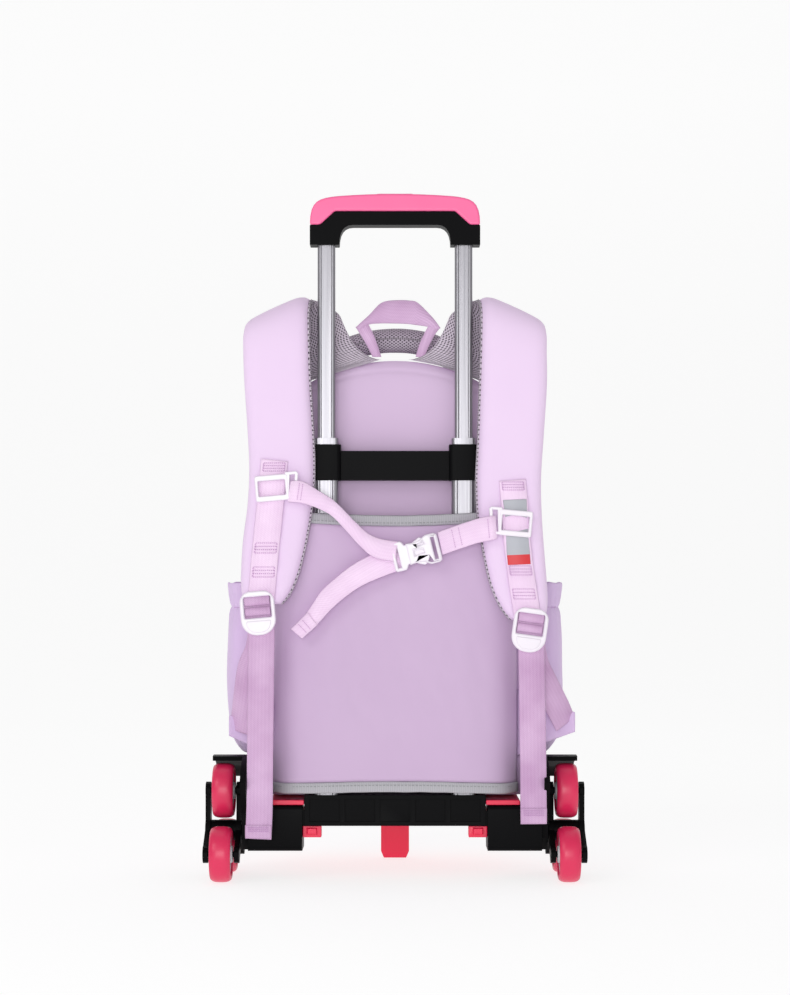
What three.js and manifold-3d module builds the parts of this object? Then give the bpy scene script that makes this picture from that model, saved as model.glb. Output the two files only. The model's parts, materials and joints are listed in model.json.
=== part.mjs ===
// A child's backpack on a telescopic trolley with two stair-climbing wheel sets.
// Millimetres, +Z up, +X to the viewer's right, the harness side facing -Y.
// Every piece is placed from the plane through the trolley tubes (Y = 0) and the floor (Z = 0).
// The whole group is then moved so that the origin is the middle of its box, on the floor.

import * as THREE from 'three';
import { mergeVertices } from 'three/addons/utils/BufferGeometryUtils.js';
import Module from 'manifold-3d';

const wasm = await Module();
wasm.setup();

// Clearances

const fit = 0.3; // between pieces that touch
const seamGap = 1.5; // between sewn edges that lie loosely on each other

// Wheel sets: three wheels on a star that turns as a whole

const wheelRadius = 26.5;
const wheelWidth = 22;
const tyreThickness = 6;
const rimBossRadius = 8;
const pinRadius = 3;
const starArm = 38.4; // from the star's middle to each wheel's middle
const starPlate = 5;
const starEdge = 8.5; // radius of the plates round each pin
const starHubRadius = 10;
const starArmShare = 0.85; // half width of each arm, as a share of the edge round its pin
const starMiddleShare = 1.25; // radius of the plate's middle, as a share of the hub's
const rimEdge = 3; // how far the rim's and the tyre's edges are turned in
const starShaftRadius = 5;
const starShaftReach = 34; // how deep the shaft sits in the axle block
const wheelSideGap = 1.4;
const fenderGap = 3.6; // between the turning wheels and the fender

// Base housing with its two axle blocks

const beamWidth = 174;
const beamHeight = 29.5;
const beamAboveShaft = 1.6;
const beamWall = 4; // above and below the ribs
const beamSkin = 1.5; // behind the tube sockets
const ribWidth = 5;
const ribDepth = 1.2;
const blockWidth = 58;
const blockHeight = 44;
const blockDepth = 44;
const blockInset = 2.5; // the bracket and tray stay this far inside the block's faces
const blockBelowHub = 17.7;
const blockCorner = 5;
const blockBehindTubes = 12; // how far the base stands out behind the tube plane
const hubAheadOfTubes = 13.3;
const bracketWall = 5.5;
const bracketDepth = 60;
const fenderSpan = 46; // how far round the star the fender reaches
const fenderNearSpan = 8; // how far its lip comes round on the harness side
const fenderThickness = 4.5;
const fenderOverhang = 29;

// Tray under the bag, with its foot

const trayWidth = 240;
const trayThickness = 4.7;
const footWidth = 29;
const footDepth = 12;
const trayCorner = 14;
const latchWidth = 18;
const latchHeight = 11;
const latchDepth = 16;

// Telescopic handle

const tubeSpacing = 132;
const innerTubeWidth = 17;
const innerTubeDepth = 11;
const tubeWall = 1.2;
const grooveWidth = 2.2;
const grooveDepth = 0.5;
const tubeSeatDepth = 24; // how deep the outer tubes sit in the base
const outerTubeLength = 360.5;
const tubeOverlap = 100; // what stays inside when a stage is fully out
const stageTravel = 190;
const handleTravel = 185;
const collarHeight = 6;
const bridgeHeight = 34.5;
const bridgeWall = 2.5; // round each outer tube
const bridgeBarDrop = 6;
const bridgeBarDepth = 15;
const gripWidth = 163.6;
const gripDepth = 19;
const gripLegWidth = 28.4;
const gripHeight = 32; // from the leg's lower end to the line between grip and cover
const gripBarHeight = 13;
const coverHeight = 17;
const coverDepth = 21;
const coverCorner = 20;
const buttonWidth = 38;
const buttonDepth = 10;
const buttonHeight = 5;
const buttonProud = 1;
const buttonTravel = 3;

// Bag body

const bagWidth = 282;
const bagHeight = 421;
const bagDepth = 156;
const bagWall = 3;
const bagCorner = 34;
const zipWidth = 10;
const zipThickness = 1.8;
const zipShare = 0.48; // where the zip runs, as a share of the bag's depth
const panelThickness = 8;
const panelWidth = 236;
const panelAboveBag = 3;
const panelBehindTubes = 3.5; // room between the outer tubes and the panel
const sleeveWidth = 236;
const sleeveThickness = 3;
const sleeveGap = 3.5; // between the tubes and the sleeve
const sleeveFall = 156.3; // from the panel's top down to the sleeve's upper edge, at its ends
const sleeveBottom = 93;
const sleeveDip = 5.5;
const bindingHeight = 10.5;
const bindingThickness = 4;
const pocketHeight = 163;
const pocketBulge = 26;
const pocketDepth = 96;
const pocketWall = 2;
const pocketFloorRise = 44;
const pocketAheadOfPanel = 16;

// Shoulder straps

const strapInner = 78; // from the middle to the inner edge where the strap is narrowest apart
const strapWidth = 62;
const strapRootInner = 15;
const strapPadThickness = 9;
const strapMeshThickness = 3;
const layerGap = 0.7; // between the pad and the mesh under it
const strapFoldRise = 56; // top of the fold above the panel's top
const strapFoldDepth = 43; // from the panel's seam to the strap's front layer
const strapFall = { left: 264, right: 279 };
const strapEndGap = 4;
const webbingWidth = 25;
const webbingThickness = 1.4;
const webbingFall = { left: 99.3, right: 117.3 }; // from the panel's top down to the webbing's upper end
const lockFall = { left: 245.3, right: 261.3 }; // from the panel's top down to each lock's middle
const lockWidth = 36;
const lockHeight = 43;
const lockThickness = 4;
const lockBar = 4.5;
const lockWindow = 9.5;
const lockOut = 129; // from the middle to the middle of each ladder lock
const tailEnd = { left: 42, right: 56 };
const tailLead = 3.5; // the tail hangs this far in front of the anchored webbing
const wingTipOut = 160;
const wingHeight = 66;
const wingTipHeight = 150;
const wingThickness = 2.4;
const labelWidth = 24;
const labelHeight = 60;
const labelThickness = 0.9;
const labelFall = 144.3; // from the panel's top down to the label's upper edge

// Sternum strap

const sternumWidth = 20;
const sternumThickness = 1.3;
const sliderWidth = 31;
const sliderHeight = 24;
const sliderThickness = 4;
const sliderRim = 4;
const sliderLoop = 9;
const sliderFall = { left: 126.3, right: 159.3 }; // from the panel's top down to each slider's middle
const sliderOut = 116;
const buckleLength = 46;
const buckleHeight = 29;
const buckleThickness = 9;
const buckleTilt = 14;
const buckleOut = 20.5; // the buckle's middle lies this far right of the middle
const buckleFall = 187.3; // from the panel's top down to the buckle's middle
const buckleForward = 29;

// Grab handle and the webbing loop over it

const grabSpan = 86;
const grabThickness = 24;
const grabRise = 24; // top of the handle's middle line above the bag
const loopWidth = 82;
const loopHeight = 56;
const loopThickness = 2;
const loopBand = 24;
const loopLeg = 8;

// Colours

const lilac = '#e3cdf0';
const lilacWebbing = '#cf9fd8';
const meshGrey = '#8d8790';
const bindingGrey = '#b4b7b8';
const plasticBlack = '#17171a';
const plasticWhite = '#f2f0f4';
const handlePink = '#fb5f9c';
const wheelPink = '#e02a5c';
const aluminium = '#c9ccd0';
const hubGrey = '#d6d6da';
const labelSilver = '#b9bcc4';

// Worked-out heights and places

const hubHeight = wheelRadius + starArm / 2;
const hubY = hubAheadOfTubes;
const baseBack = -blockBehindTubes;
const blockBottom = hubHeight - blockBelowHub;
const blockTop = blockBottom + blockHeight;
const beamBottom = hubHeight + starShaftRadius + beamAboveShaft;
const beamTop = beamBottom + beamHeight;
const blockInner = beamWidth / 2 + 2;
const blockOuter = blockInner + blockWidth;
const bracketInner = blockOuter - bracketWall;
const innerPlateIn = blockOuter + wheelSideGap;
const innerPlateOut = innerPlateIn + starPlate;
const wheelIn = innerPlateOut + wheelSideGap;
const wheelMiddle = wheelIn + wheelWidth / 2;
const outerPlateIn = wheelIn + wheelWidth + wheelSideGap;
const outerPlateOut = outerPlateIn + starPlate;
const trayBottom = blockTop + fit;
const trayTop = trayBottom + trayThickness;
const bagBottom = trayTop + fit;
const bagTop = bagBottom + bagHeight;
const panelTop = bagTop + panelAboveBag;
const sleeveTop = panelTop - sleeveFall;
const labelTop = panelTop - labelFall;
const buckleCentre = panelTop - buckleFall;
const below = (falls) => ({ left: panelTop - falls.left, right: panelTop - falls.right });
const webbingTop = below(webbingFall);
const lockCentre = below(lockFall);
const sliderCentre = below(sliderFall);
const tubeX = tubeSpacing / 2;
const midTubeWidth = innerTubeWidth + 2 * (tubeWall + fit);
const midTubeDepth = innerTubeDepth + 2 * (tubeWall + fit);
const outerTubeWidth = midTubeWidth + 2 * (tubeWall + fit);
const outerTubeDepth = midTubeDepth + 2 * (tubeWall + fit);
const tubeSeat = beamTop - tubeSeatDepth;
const outerTubeTop = tubeSeat + outerTubeLength;
const bridgeTop = outerTubeTop;
const bridgeBottom = bridgeTop - bridgeHeight;
const collarBottom = outerTubeTop + fit;
const midTubeTop = collarBottom + collarHeight;
const midTubeBottom = outerTubeTop - stageTravel - tubeOverlap;
const gripBottom = midTubeTop + fit + handleTravel;
const innerTubeTop = gripBottom + gripHeight / 2;
const innerTubeBottom = midTubeTop - tubeOverlap;
const gripLine = gripBottom + gripHeight;
const panelFace = outerTubeDepth / 2 + panelBehindTubes;
const bagBack = panelFace + panelThickness + fit;
const beamBack = -outerTubeDepth / 2 - fit - beamSkin;
const beamFront = bagBack - seamGap;
const bagFront = bagBack + bagDepth;
const zipY = bagBack + bagDepth * zipShare;
const trayFront = bagFront;
const blockFront = baseBack + blockDepth;
const sleeveFace = -outerTubeDepth / 2 - sleeveGap - sleeveThickness;
const strapRear = panelFace + panelThickness;
const strapFront = strapRear - strapFoldDepth;
const strapSkin = strapFront - strapPadThickness / 2 - strapMeshThickness / 2;
const sides = [{ name: 'left', sign: -1 }, { name: 'right', sign: 1 }];

// Solids

function toSolid(geometry) {
  const bare = geometry.clone();
  bare.deleteAttribute('normal');
  bare.deleteAttribute('uv');
  const merged = mergeVertices(bare, 1e-4);
  return new wasm.Manifold(new wasm.Mesh({
    numProp: 3,
    vertProperties: new Float32Array(merged.attributes.position.array),
    triVerts: new Uint32Array(merged.index.array),
  }));
}

function toGeometry(solid) {
  const mesh = solid.getMesh();
  const geometry = new THREE.BufferGeometry();
  geometry.setAttribute('position', new THREE.BufferAttribute(mesh.vertProperties, 3));
  geometry.setIndex(new THREE.BufferAttribute(mesh.triVerts, 1));
  return geometry;
}

function signedVolume(positions, index) {
  let sum = 0;
  const [a, b, c] = [new THREE.Vector3(), new THREE.Vector3(), new THREE.Vector3()];
  for (let i = 0; i < index.length; i += 3) {
    a.fromArray(positions, index[i] * 3);
    b.fromArray(positions, index[i + 1] * 3);
    c.fromArray(positions, index[i + 2] * 3);
    sum += a.dot(b.cross(c));
  }
  return sum / 6;
}

// A closed skin through rings that have the same number of points, capped at both ends.
function loft(rings) {
  const count = rings[0].length;
  const positions = rings.flat().flatMap((point) => point.toArray());
  const index = [];
  for (let row = 0; row + 1 < rings.length; row += 1) {
    for (let i = 0; i < count; i += 1) {
      const a = row * count + i;
      const b = row * count + ((i + 1) % count);
      index.push(a, b, b + count, a, b + count, a + count);
    }
  }
  const last = (rings.length - 1) * count;
  for (let i = 1; i + 1 < count; i += 1) {
    index.push(0, i + 1, i);
    index.push(last, last + i, last + i + 1);
  }
  if (signedVolume(positions, index) < 0) index.reverse();
  const geometry = new THREE.BufferGeometry();
  geometry.setAttribute('position', new THREE.Float32BufferAttribute(positions, 3));
  geometry.setIndex(index);
  return geometry;
}

function box(x0, x1, y0, y1, z0, z1) {
  const geometry = new THREE.BoxGeometry(x1 - x0, y1 - y0, z1 - z0);
  return geometry.translate((x0 + x1) / 2, (y0 + y1) / 2, (z0 + z1) / 2);
}

function sideBox(sign, x0, x1, y0, y1, z0, z1) {
  return sign > 0 ? box(x0, x1, y0, y1, z0, z1) : box(-x1, -x0, y0, y1, z0, z1);
}

function roundedRect(width, height, radius) {
  const shape = new THREE.Shape();
  const [x, y] = [width / 2, height / 2];
  shape.moveTo(-x + radius, -y);
  shape.lineTo(x - radius, -y);
  shape.absarc(x - radius, -y + radius, radius, -Math.PI / 2, 0);
  shape.absarc(x - radius, y - radius, radius, 0, Math.PI / 2);
  shape.absarc(-x + radius, y - radius, radius, Math.PI / 2, Math.PI);
  shape.absarc(-x + radius, -y + radius, radius, Math.PI, 1.5 * Math.PI);
  return shape;
}

function extrude(shape, depth, curveSegments = 4) {
  return new THREE.ExtrudeGeometry(shape, { depth, bevelEnabled: false, curveSegments });
}

// Stands an outline that is drawn in X and Z up, with its thickness from y0 to y1.
function upright(shape, y0, y1, curveSegments = 4) {
  return extrude(shape, y1 - y0, curveSegments).rotateX(Math.PI / 2).translate(0, y1, 0);
}

// Lies along X, from x0 to x1, with the outline drawn in Y and Z.
function alongX(shape, x0, x1, curveSegments = 4) {
  const turn = new THREE.Matrix4().makeBasis(
    new THREE.Vector3(0, 1, 0), new THREE.Vector3(0, 0, 1), new THREE.Vector3(1, 0, 0));
  return extrude(shape, x1 - x0, curveSegments).applyMatrix4(turn).translate(x0, 0, 0);
}

function rod(radius, x0, x1, y, z, segments = 16) {
  const geometry = new THREE.CylinderGeometry(radius, radius, x1 - x0, segments);
  return geometry.rotateZ(Math.PI / 2).translate((x0 + x1) / 2, y, z);
}

function union(parts) {
  return parts.map(toSolid).reduce((sum, next) => sum.add(next));
}

function cut(body, tools) {
  return tools.reduce((rest, tool) => rest.subtract(toSolid(tool)), body);
}

// A flat band along a path. Each station has its middle, and across is the direction of its width.
function ribbon(stations, width, thickness) {
  const rings = stations.map(({ at, across, wide = 1 }, i) => {
    const before = stations[Math.max(i - 1, 0)].at;
    const after = stations[Math.min(i + 1, stations.length - 1)].at;
    const along = after.clone().sub(before).normalize();
    const side = across.clone().addScaledVector(along, -across.dot(along)).normalize();
    const up = side.clone().cross(along).normalize();
    return [[-1, -1], [1, -1], [1, 1], [-1, 1]].map(([u, v]) => at.clone()
      .addScaledVector(side, (u * width * wide) / 2)
      .addScaledVector(up, (v * thickness) / 2));
  });
  return loft(rings);
}

function smoothPath(points, steps) {
  return new THREE.CatmullRomCurve3(points).getPoints(steps);
}

const group = new THREE.Group();

function add(name, shape, colour, roughness = 0.8, metalness = 0) {
  const geometry = shape.isBufferGeometry ? shape : toGeometry(shape);
  const material = new THREE.MeshStandardMaterial({ color: colour, roughness, metalness });
  const mesh = new THREE.Mesh(geometry, material);
  mesh.name = name;
  group.add(mesh);
  return mesh;
}

// Telescopic tubes: rounded rectangles with two shallow grooves on the broad faces

function grooved(width, depth, z0, z1) {
  const corner = Math.min(width, depth) / 4;
  const body = toSolid(extrude(roundedRect(width, depth, corner), z1 - z0, 3).translate(0, 0, z0));
  const grooves = [-1, 1].flatMap((face) => [-1, 1].map((side) => {
    const x = (side * width) / 5;
    const y = (face * depth) / 2;
    return box(x - grooveWidth / 2, x + grooveWidth / 2, y - grooveDepth, y + grooveDepth,
      z0 - 1, z1 + 1);
  }));
  return cut(body, grooves);
}

function tube(width, depth, z0, z1) {
  const bore = roundedRect(width - 2 * tubeWall, depth - 2 * tubeWall, depth / 5);
  return grooved(width, depth, z0, z1).subtract(
    toSolid(extrude(bore, z1 - z0 + 2, 3).translate(0, 0, z0 - 1)));
}

function buildTubes() {
  sides.forEach(({ name, sign }) => {
    const x = sign * tubeX;
    add(`outer_tube_${name}`, tube(outerTubeWidth, outerTubeDepth, tubeSeat, outerTubeTop)
      .translate([x, 0, 0]), aluminium, 0.35, 0.9);
    const collar = toSolid(extrude(roundedRect(outerTubeWidth - fit, outerTubeDepth - fit, 3),
      collarHeight, 3).translate(0, 0, collarBottom));
    const bore = toSolid(extrude(roundedRect(midTubeWidth - 2 * tubeWall,
      midTubeDepth - 2 * tubeWall, midTubeDepth / 5), collarHeight + 2, 3)
      .translate(0, 0, collarBottom - 1));
    add(`mid_tube_${name}`, tube(midTubeWidth, midTubeDepth, midTubeBottom, midTubeTop)
      .add(collar.subtract(bore)).translate([x, 0, 0]), aluminium, 0.35, 0.9);
    add(`inner_tube_${name}`, grooved(innerTubeWidth, innerTubeDepth, innerTubeBottom, innerTubeTop)
      .translate([x, 0, 0]), aluminium, 0.35, 0.9);
  });
}

function tubeSocket(sign, width, depth, z0, z1) {
  const outline = roundedRect(width + 2 * fit, depth + 2 * fit, Math.min(width, depth) / 4);
  return extrude(outline, z1 - z0, 3).translate(sign * tubeX, 0, z0);
}

function buildBridge() {
  const half = outerTubeDepth / 2 + bridgeWall;
  const housings = sides.map(({ sign }) => extrude(
    roundedRect(outerTubeWidth + 2 * bridgeWall, 2 * half, 4), bridgeHeight, 3)
    .translate(sign * tubeX, 0, bridgeBottom));
  const bar = box(-tubeX, tubeX, half - bridgeBarDepth - 2, half - 2,
    bridgeBottom + fit, bridgeTop - bridgeBarDrop);
  const sockets = sides.map(({ sign }) => tubeSocket(sign, outerTubeWidth, outerTubeDepth,
    bridgeBottom - 1, bridgeTop + 1));
  add('bridge', cut(union([...housings, bar]), sockets), plasticBlack, 0.5);
}

// Handle: the black grip with its two legs, the pink cover over it and the button

function gripOutline() {
  const [x, inner] = [gripWidth / 2, gripWidth / 2 - gripLegWidth];
  const barBottom = gripLine - gripBarHeight;
  const shape = new THREE.Shape();
  shape.moveTo(-x, gripBottom);
  shape.lineTo(-inner, gripBottom);
  shape.quadraticCurveTo(-inner, barBottom, -inner + gripBarHeight, barBottom);
  shape.lineTo(inner - gripBarHeight, barBottom);
  shape.quadraticCurveTo(inner, barBottom, inner, gripBottom);
  shape.lineTo(x, gripBottom);
  shape.lineTo(x, gripLine - gripBarHeight);
  shape.lineTo(x - gripLegWidth * 0.35, gripLine - gripBarHeight);
  shape.lineTo(x - gripLegWidth * 0.85, gripLine);
  shape.lineTo(-x + gripLegWidth * 0.85, gripLine);
  shape.lineTo(-x + gripLegWidth * 0.35, gripLine - gripBarHeight);
  shape.lineTo(-x, gripLine - gripBarHeight);
  return shape;
}

function coverOutline() {
  const x = gripWidth / 2;
  const bottom = gripLine - gripBarHeight + fit;
  const line = gripLine + fit;
  const top = gripLine + coverHeight;
  const shape = new THREE.Shape();
  shape.moveTo(-x, bottom);
  shape.lineTo(-x + gripLegWidth * 0.35, bottom);
  shape.lineTo(-x + gripLegWidth * 0.85, line);
  shape.lineTo(x - gripLegWidth * 0.85, line);
  shape.lineTo(x - gripLegWidth * 0.35, bottom);
  shape.lineTo(x, bottom);
  shape.bezierCurveTo(x, top - coverCorner * 0.3, x - coverCorner * 0.4, top - 4,
    x - coverCorner * 1.4, top - 2);
  shape.quadraticCurveTo(0, top + 2, -x + coverCorner * 1.4, top - 2);
  shape.bezierCurveTo(-x + coverCorner * 0.4, top - 4, -x, top - coverCorner * 0.3, -x, bottom);
  return shape;
}

function buildHandle() {
  const half = gripDepth / 2;
  const seats = sides.map(({ sign }) => tubeSocket(sign, innerTubeWidth, innerTubeDepth,
    gripBottom - 1, innerTubeTop + fit));
  add('handle_grip', cut(toSolid(upright(gripOutline(), -half, half, 6)), seats), plasticBlack, 0.45);
  const well = gripLine + coverHeight - buttonHeight;
  const wellCut = box(-buttonWidth / 2 - fit, buttonWidth / 2 + fit,
    -buttonDepth / 2 - fit, buttonDepth / 2 + fit, well - fit - buttonTravel, gripLine + coverHeight + 3);
  add('handle_cover', cut(toSolid(upright(coverOutline(), -coverDepth / 2, coverDepth / 2, 8)),
    [wellCut]), handlePink, 0.4);
  const button = roundedRect(buttonWidth, buttonDepth, buttonDepth / 2 - 0.5);
  add('push_button', extrude(button, buttonHeight + buttonProud, 4).translate(0, 0, well),
    handlePink, 0.4);
}

// Base housing: a ribbed beam that holds the tubes, with an axle block at each end

function buildBase() {
  const half = beamWidth / 2;
  const beam = box(-half, half, beamBack, beamFront, beamBottom, beamTop);
  const step = (2 * half - 6 * ribWidth) / 5;
  const pockets = [0, 1, 2, 3, 4].map((i) => {
    const x0 = -half + ribWidth + i * (step + ribWidth);
    return box(x0, x0 + step, beamBack - 1, beamBack + ribDepth,
      beamBottom + beamWall, beamTop - beamWall);
  });
  const blocks = sides.map(({ sign }) => {
    const outline = roundedRect(blockDepth, blockHeight, blockCorner);
    const [x0, x1] = sign > 0 ? [blockInner, blockOuter] : [-blockOuter, -blockInner];
    return alongX(outline, x0, x1, 3)
      .translate(0, baseBack + blockDepth / 2, blockBottom + blockHeight / 2);
  });
  const webs = sides.map(({ sign }) => sideBox(sign, half - 2, blockInner + 2,
    baseBack + blockInset, blockFront - blockInset, beamBottom, blockTop - blockCorner));
  const sockets = sides.map(({ sign }) => tubeSocket(sign, outerTubeWidth, outerTubeDepth,
    tubeSeat - fit, beamTop + 1));
  const bores = sides.map(({ sign }) => {
    const [x0, x1] = [blockOuter - starShaftReach - fit, blockOuter + 1];
    return sign > 0 ? rod(starShaftRadius + fit, x0, x1, hubY, hubHeight)
      : rod(starShaftRadius + fit, -x1, -x0, hubY, hubHeight);
  });
  const rebates = sides.map(({ sign }) => sideBox(sign, bracketInner - fit, blockOuter + 1,
    hubY - bracketDepth, hubY + bracketDepth, blockBottom - 1, blockTop + 1));
  add('base_housing', cut(union([beam, ...blocks, ...webs]),
    [...pockets, ...sockets, ...bores, ...rebates]), plasticBlack, 0.55);
  sides.forEach(({ name, sign }) => {
    const x = blockInner - latchWidth / 2 - fit;
    const z1 = beamBottom - fit;
    const body = sideBox(sign, x - latchWidth / 2, x + latchWidth / 2, beamBack + blockInset,
      beamBack + blockInset + latchDepth, z1 - latchHeight, z1);
    const tab = sideBox(sign, x - latchWidth / 4, x + latchWidth / 4, beamBack - 1,
      beamBack + blockInset + 2, z1 - latchHeight * 0.7, z1 - 2);
    add(`latch_${name}`, union([body, tab]), wheelPink, 0.45);
  });
}

// Side bracket: a wall beside the star with a fender that arches over the wheels

function arc(shape, radius, from, to, backward = false) {
  shape.absarc(hubY, hubHeight, radius, from, to, backward);
}

function buildFenders() {
  const reach = starArm + wheelRadius + fenderGap;
  const span = THREE.MathUtils.degToRad(fenderSpan);
  const [from, to] = [Math.PI / 2 - span, Math.PI / 2 + span];
  const lipEdge = Math.PI / 2 + THREE.MathUtils.degToRad(fenderNearSpan);
  sides.forEach(({ name, sign }) => {
    const wall = new THREE.Shape();
    arc(wall, reach + fenderThickness, from, to);
    wall.lineTo(hubY - bracketDepth / 2, hubHeight + starArm / 2);
    wall.lineTo(baseBack + blockInset, blockTop);
    wall.lineTo(baseBack + blockInset, hubHeight - starShaftRadius);
    wall.lineTo(hubY - starHubRadius, blockBottom);
    wall.lineTo(hubY + starHubRadius, blockBottom);
    wall.lineTo(blockFront - blockInset, hubHeight - starShaftRadius);
    wall.lineTo(blockFront - blockInset, blockTop);
    wall.lineTo(hubY + bracketDepth / 2, hubHeight + starArm / 2);
    const lip = new THREE.Shape();
    arc(lip, reach + fenderThickness, from, lipEdge);
    arc(lip, reach, lipEdge, from, true);
    const wallSpan = sign > 0 ? [bracketInner, blockOuter] : [-blockOuter, -bracketInner];
    const lipEnd = blockOuter + fenderOverhang;
    const lipSpan = sign > 0 ? [blockOuter - 1, lipEnd] : [-lipEnd, -blockOuter + 1];
    const bore = rod(starShaftRadius + fit, wallSpan[0] - 1, wallSpan[1] + 1, hubY, hubHeight);
    add(`fender_${name}`, cut(union([alongX(wall, ...wallSpan, 6), alongX(lip, ...lipSpan, 6)]),
      [bore]), plasticBlack, 0.5);
  });
}

// Stars, rims and tyres

function armPoint(index) {
  const angle = Math.PI / 2 + (index * 2 * Math.PI) / 3;
  return { y: hubY + starArm * Math.cos(angle), z: hubHeight + starArm * Math.sin(angle) };
}

function starPlateSolid(x0, x1) {
  const discs = [0, 1, 2].map((i) => {
    const { y, z } = armPoint(i);
    return rod(starEdge, x0, x1, y, z, 10);
  });
  const arms = [0, 1, 2].map((i) => {
    const angle = Math.PI / 2 + (i * 2 * Math.PI) / 3;
    const bar = box(x0, x1, 0, starArm, -starEdge * starArmShare, starEdge * starArmShare);
    return bar.rotateX(angle).translate(0, hubY, hubHeight);
  });
  return union([...discs, ...arms, rod(starHubRadius * starMiddleShare, x0, x1, hubY, hubHeight, 16)]);
}

function lathe(profile, segments) {
  const points = profile.map(([radius, along]) => new THREE.Vector2(radius, along));
  return new THREE.LatheGeometry([...points, points[0]], segments);
}

function buildStars() {
  const half = wheelWidth / 2;
  const bore = pinRadius + fit;
  const rimRadius = wheelRadius - tyreThickness;
  sides.forEach(({ name, sign }) => {
    const mirror = (from, to) => (sign > 0 ? [from, to] : [-to, -from]);
    const inner = starPlateSolid(...mirror(innerPlateIn, innerPlateOut));
    const outer = starPlateSolid(...mirror(outerPlateIn, outerPlateOut));
    const hub = rod(starHubRadius, ...mirror(innerPlateIn + 1, outerPlateOut - 1), hubY, hubHeight, 16);
    const shaft = rod(starShaftRadius, ...mirror(blockOuter - starShaftReach, innerPlateOut - 1),
      hubY, hubHeight, 14);
    const pins = [0, 1, 2].map((i) => rod(pinRadius, ...mirror(innerPlateOut - 1, outerPlateIn + 1),
      armPoint(i).y, armPoint(i).z, 10));
    add(`star_${name}`, inner.add(outer).add(union([hub, shaft, ...pins])), plasticBlack, 0.45);
    [0, 1, 2].forEach((i) => {
      const { y, z } = armPoint(i);
      const place = (geometry) => geometry.rotateZ(-Math.PI / 2).translate(sign * wheelMiddle, y, z);
      const rim = lathe([[bore, -half], [rimBossRadius, -half], [rimBossRadius, -half * 0.55],
        [rimRadius - rimEdge, -half * 0.45], [rimRadius, -half * 0.7], [rimRadius, half * 0.7],
        [rimRadius - rimEdge, half * 0.45], [rimBossRadius, half * 0.55], [rimBossRadius, half],
        [bore, half]], 14);
      add(`wheel_${name}_${i + 1}`, place(rim), hubGrey, 0.5);
      const tyre = lathe([[rimRadius + fit, -half * 0.86], [wheelRadius - rimEdge, -half * 0.95],
        [wheelRadius, -half * 0.5], [wheelRadius, half * 0.5],
        [wheelRadius - rimEdge, half * 0.95], [rimRadius + fit, half * 0.86]], 24);
      add(`tyre_${name}_${i + 1}`, place(tyre), wheelPink, 0.5);
    });
  });
}

// Tray that carries the bag, and the foot at its front

function buildTray() {
  const half = trayWidth / 2;
  const back = baseBack + blockInset;
  const notch = beamWidth / 2 + fit;
  const shape = new THREE.Shape();
  shape.moveTo(-half, back);
  shape.lineTo(-notch, back);
  shape.lineTo(-notch, beamFront + fit);
  shape.lineTo(notch, beamFront + fit);
  shape.lineTo(notch, back);
  shape.lineTo(half, back);
  shape.lineTo(half, trayFront - trayCorner);
  shape.absarc(half - trayCorner, trayFront - trayCorner, trayCorner, 0, Math.PI / 2);
  shape.lineTo(-half + trayCorner, trayFront);
  shape.absarc(-half + trayCorner, trayFront - trayCorner, trayCorner, Math.PI / 2, Math.PI);
  const plate = extrude(shape, trayThickness, 4).translate(0, 0, trayBottom);
  const foot = loft([[0, 0.8], [0.1, 1], [0.5, 1], [1, 1.35]].map(([up, wide]) => {
    const x = (footWidth / 2) * wide;
    const z = up * (trayBottom + 1);
    const y = trayFront - trayCorner;
    return [[-x, y - footDepth * wide], [x, y - footDepth * wide], [x, y], [-x, y]]
      .map(([px, py]) => new THREE.Vector3(px, py, z));
  }));
  add('tray', union([plate, foot]), wheelPink, 0.45);
}

// Bag body: rings by height, each a rounded rectangle that is flat at the back and crowned in front

// Height, half width and depth of each ring, as shares of the bag's height, half width and depth.
const bagRings = [
  { up: 0, wide: 0.93, deep: 0.93 },
  { up: 0.02, wide: 0.985, deep: 0.98 },
  { up: 0.1, wide: 1, deep: 1 },
  { up: 0.45, wide: 1, deep: 1 },
  { up: 0.7, wide: 1, deep: 0.98 },
  { up: 0.82, wide: 0.94, deep: 0.94 },
  { up: 0.9, wide: 0.8, deep: 0.88 },
  { up: 0.95, wide: 0.62, deep: 0.81 },
  { up: 0.975, wide: 0.45, deep: 0.74 },
  { up: 0.992, wide: 0.25, deep: 0.66 },
  { up: 1, wide: 0.1, deep: 0.6 },
];
const ringCorner = 5; // points round each corner
const frontCrown = 0.045; // how far the front bulges, as a share of the depth

function bagRing(halfWidth, back, front, z, corner) {
  const radius = Math.min(corner, halfWidth * 0.8, (front - back) * 0.45);
  const crown = (front - back) * frontCrown;
  const points = [];
  const corners = [
    [halfWidth - radius, back + radius * 0.5, -90, 0.5], [halfWidth - radius, front - radius, 0, 1],
    [-halfWidth + radius, front - radius, 90, 1], [-halfWidth + radius, back + radius * 0.5, 180, 0.5],
  ];
  corners.forEach(([x, y, start, squash]) => {
    for (let i = 0; i < ringCorner; i += 1) {
      const angle = THREE.MathUtils.degToRad(start + (90 * i) / (ringCorner - 1));
      const px = x + radius * Math.cos(angle);
      const py = y + radius * squash * Math.sin(angle);
      const bulge = py > (front + back) / 2 ? crown * (1 - (px / halfWidth) ** 2) : 0;
      points.push(new THREE.Vector3(px, py + bulge - crown * (py > (back + front) / 2 ? 1 : 0), z));
    }
    if (start === 0) points.push(new THREE.Vector3(0, front, z));
  });
  return points;
}

// The bag's outline moved out by grow, or in where grow is negative.
function bagBody(grow) {
  return loft(bagRings.map(({ up, wide, deep }) => {
    const half = (bagWidth / 2) * wide + grow;
    const z = bagBottom - grow + up * (bagHeight + 2 * grow);
    return bagRing(half, bagBack - grow, bagBack + bagDepth * deep + grow, z, bagCorner);
  }));
}

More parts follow.
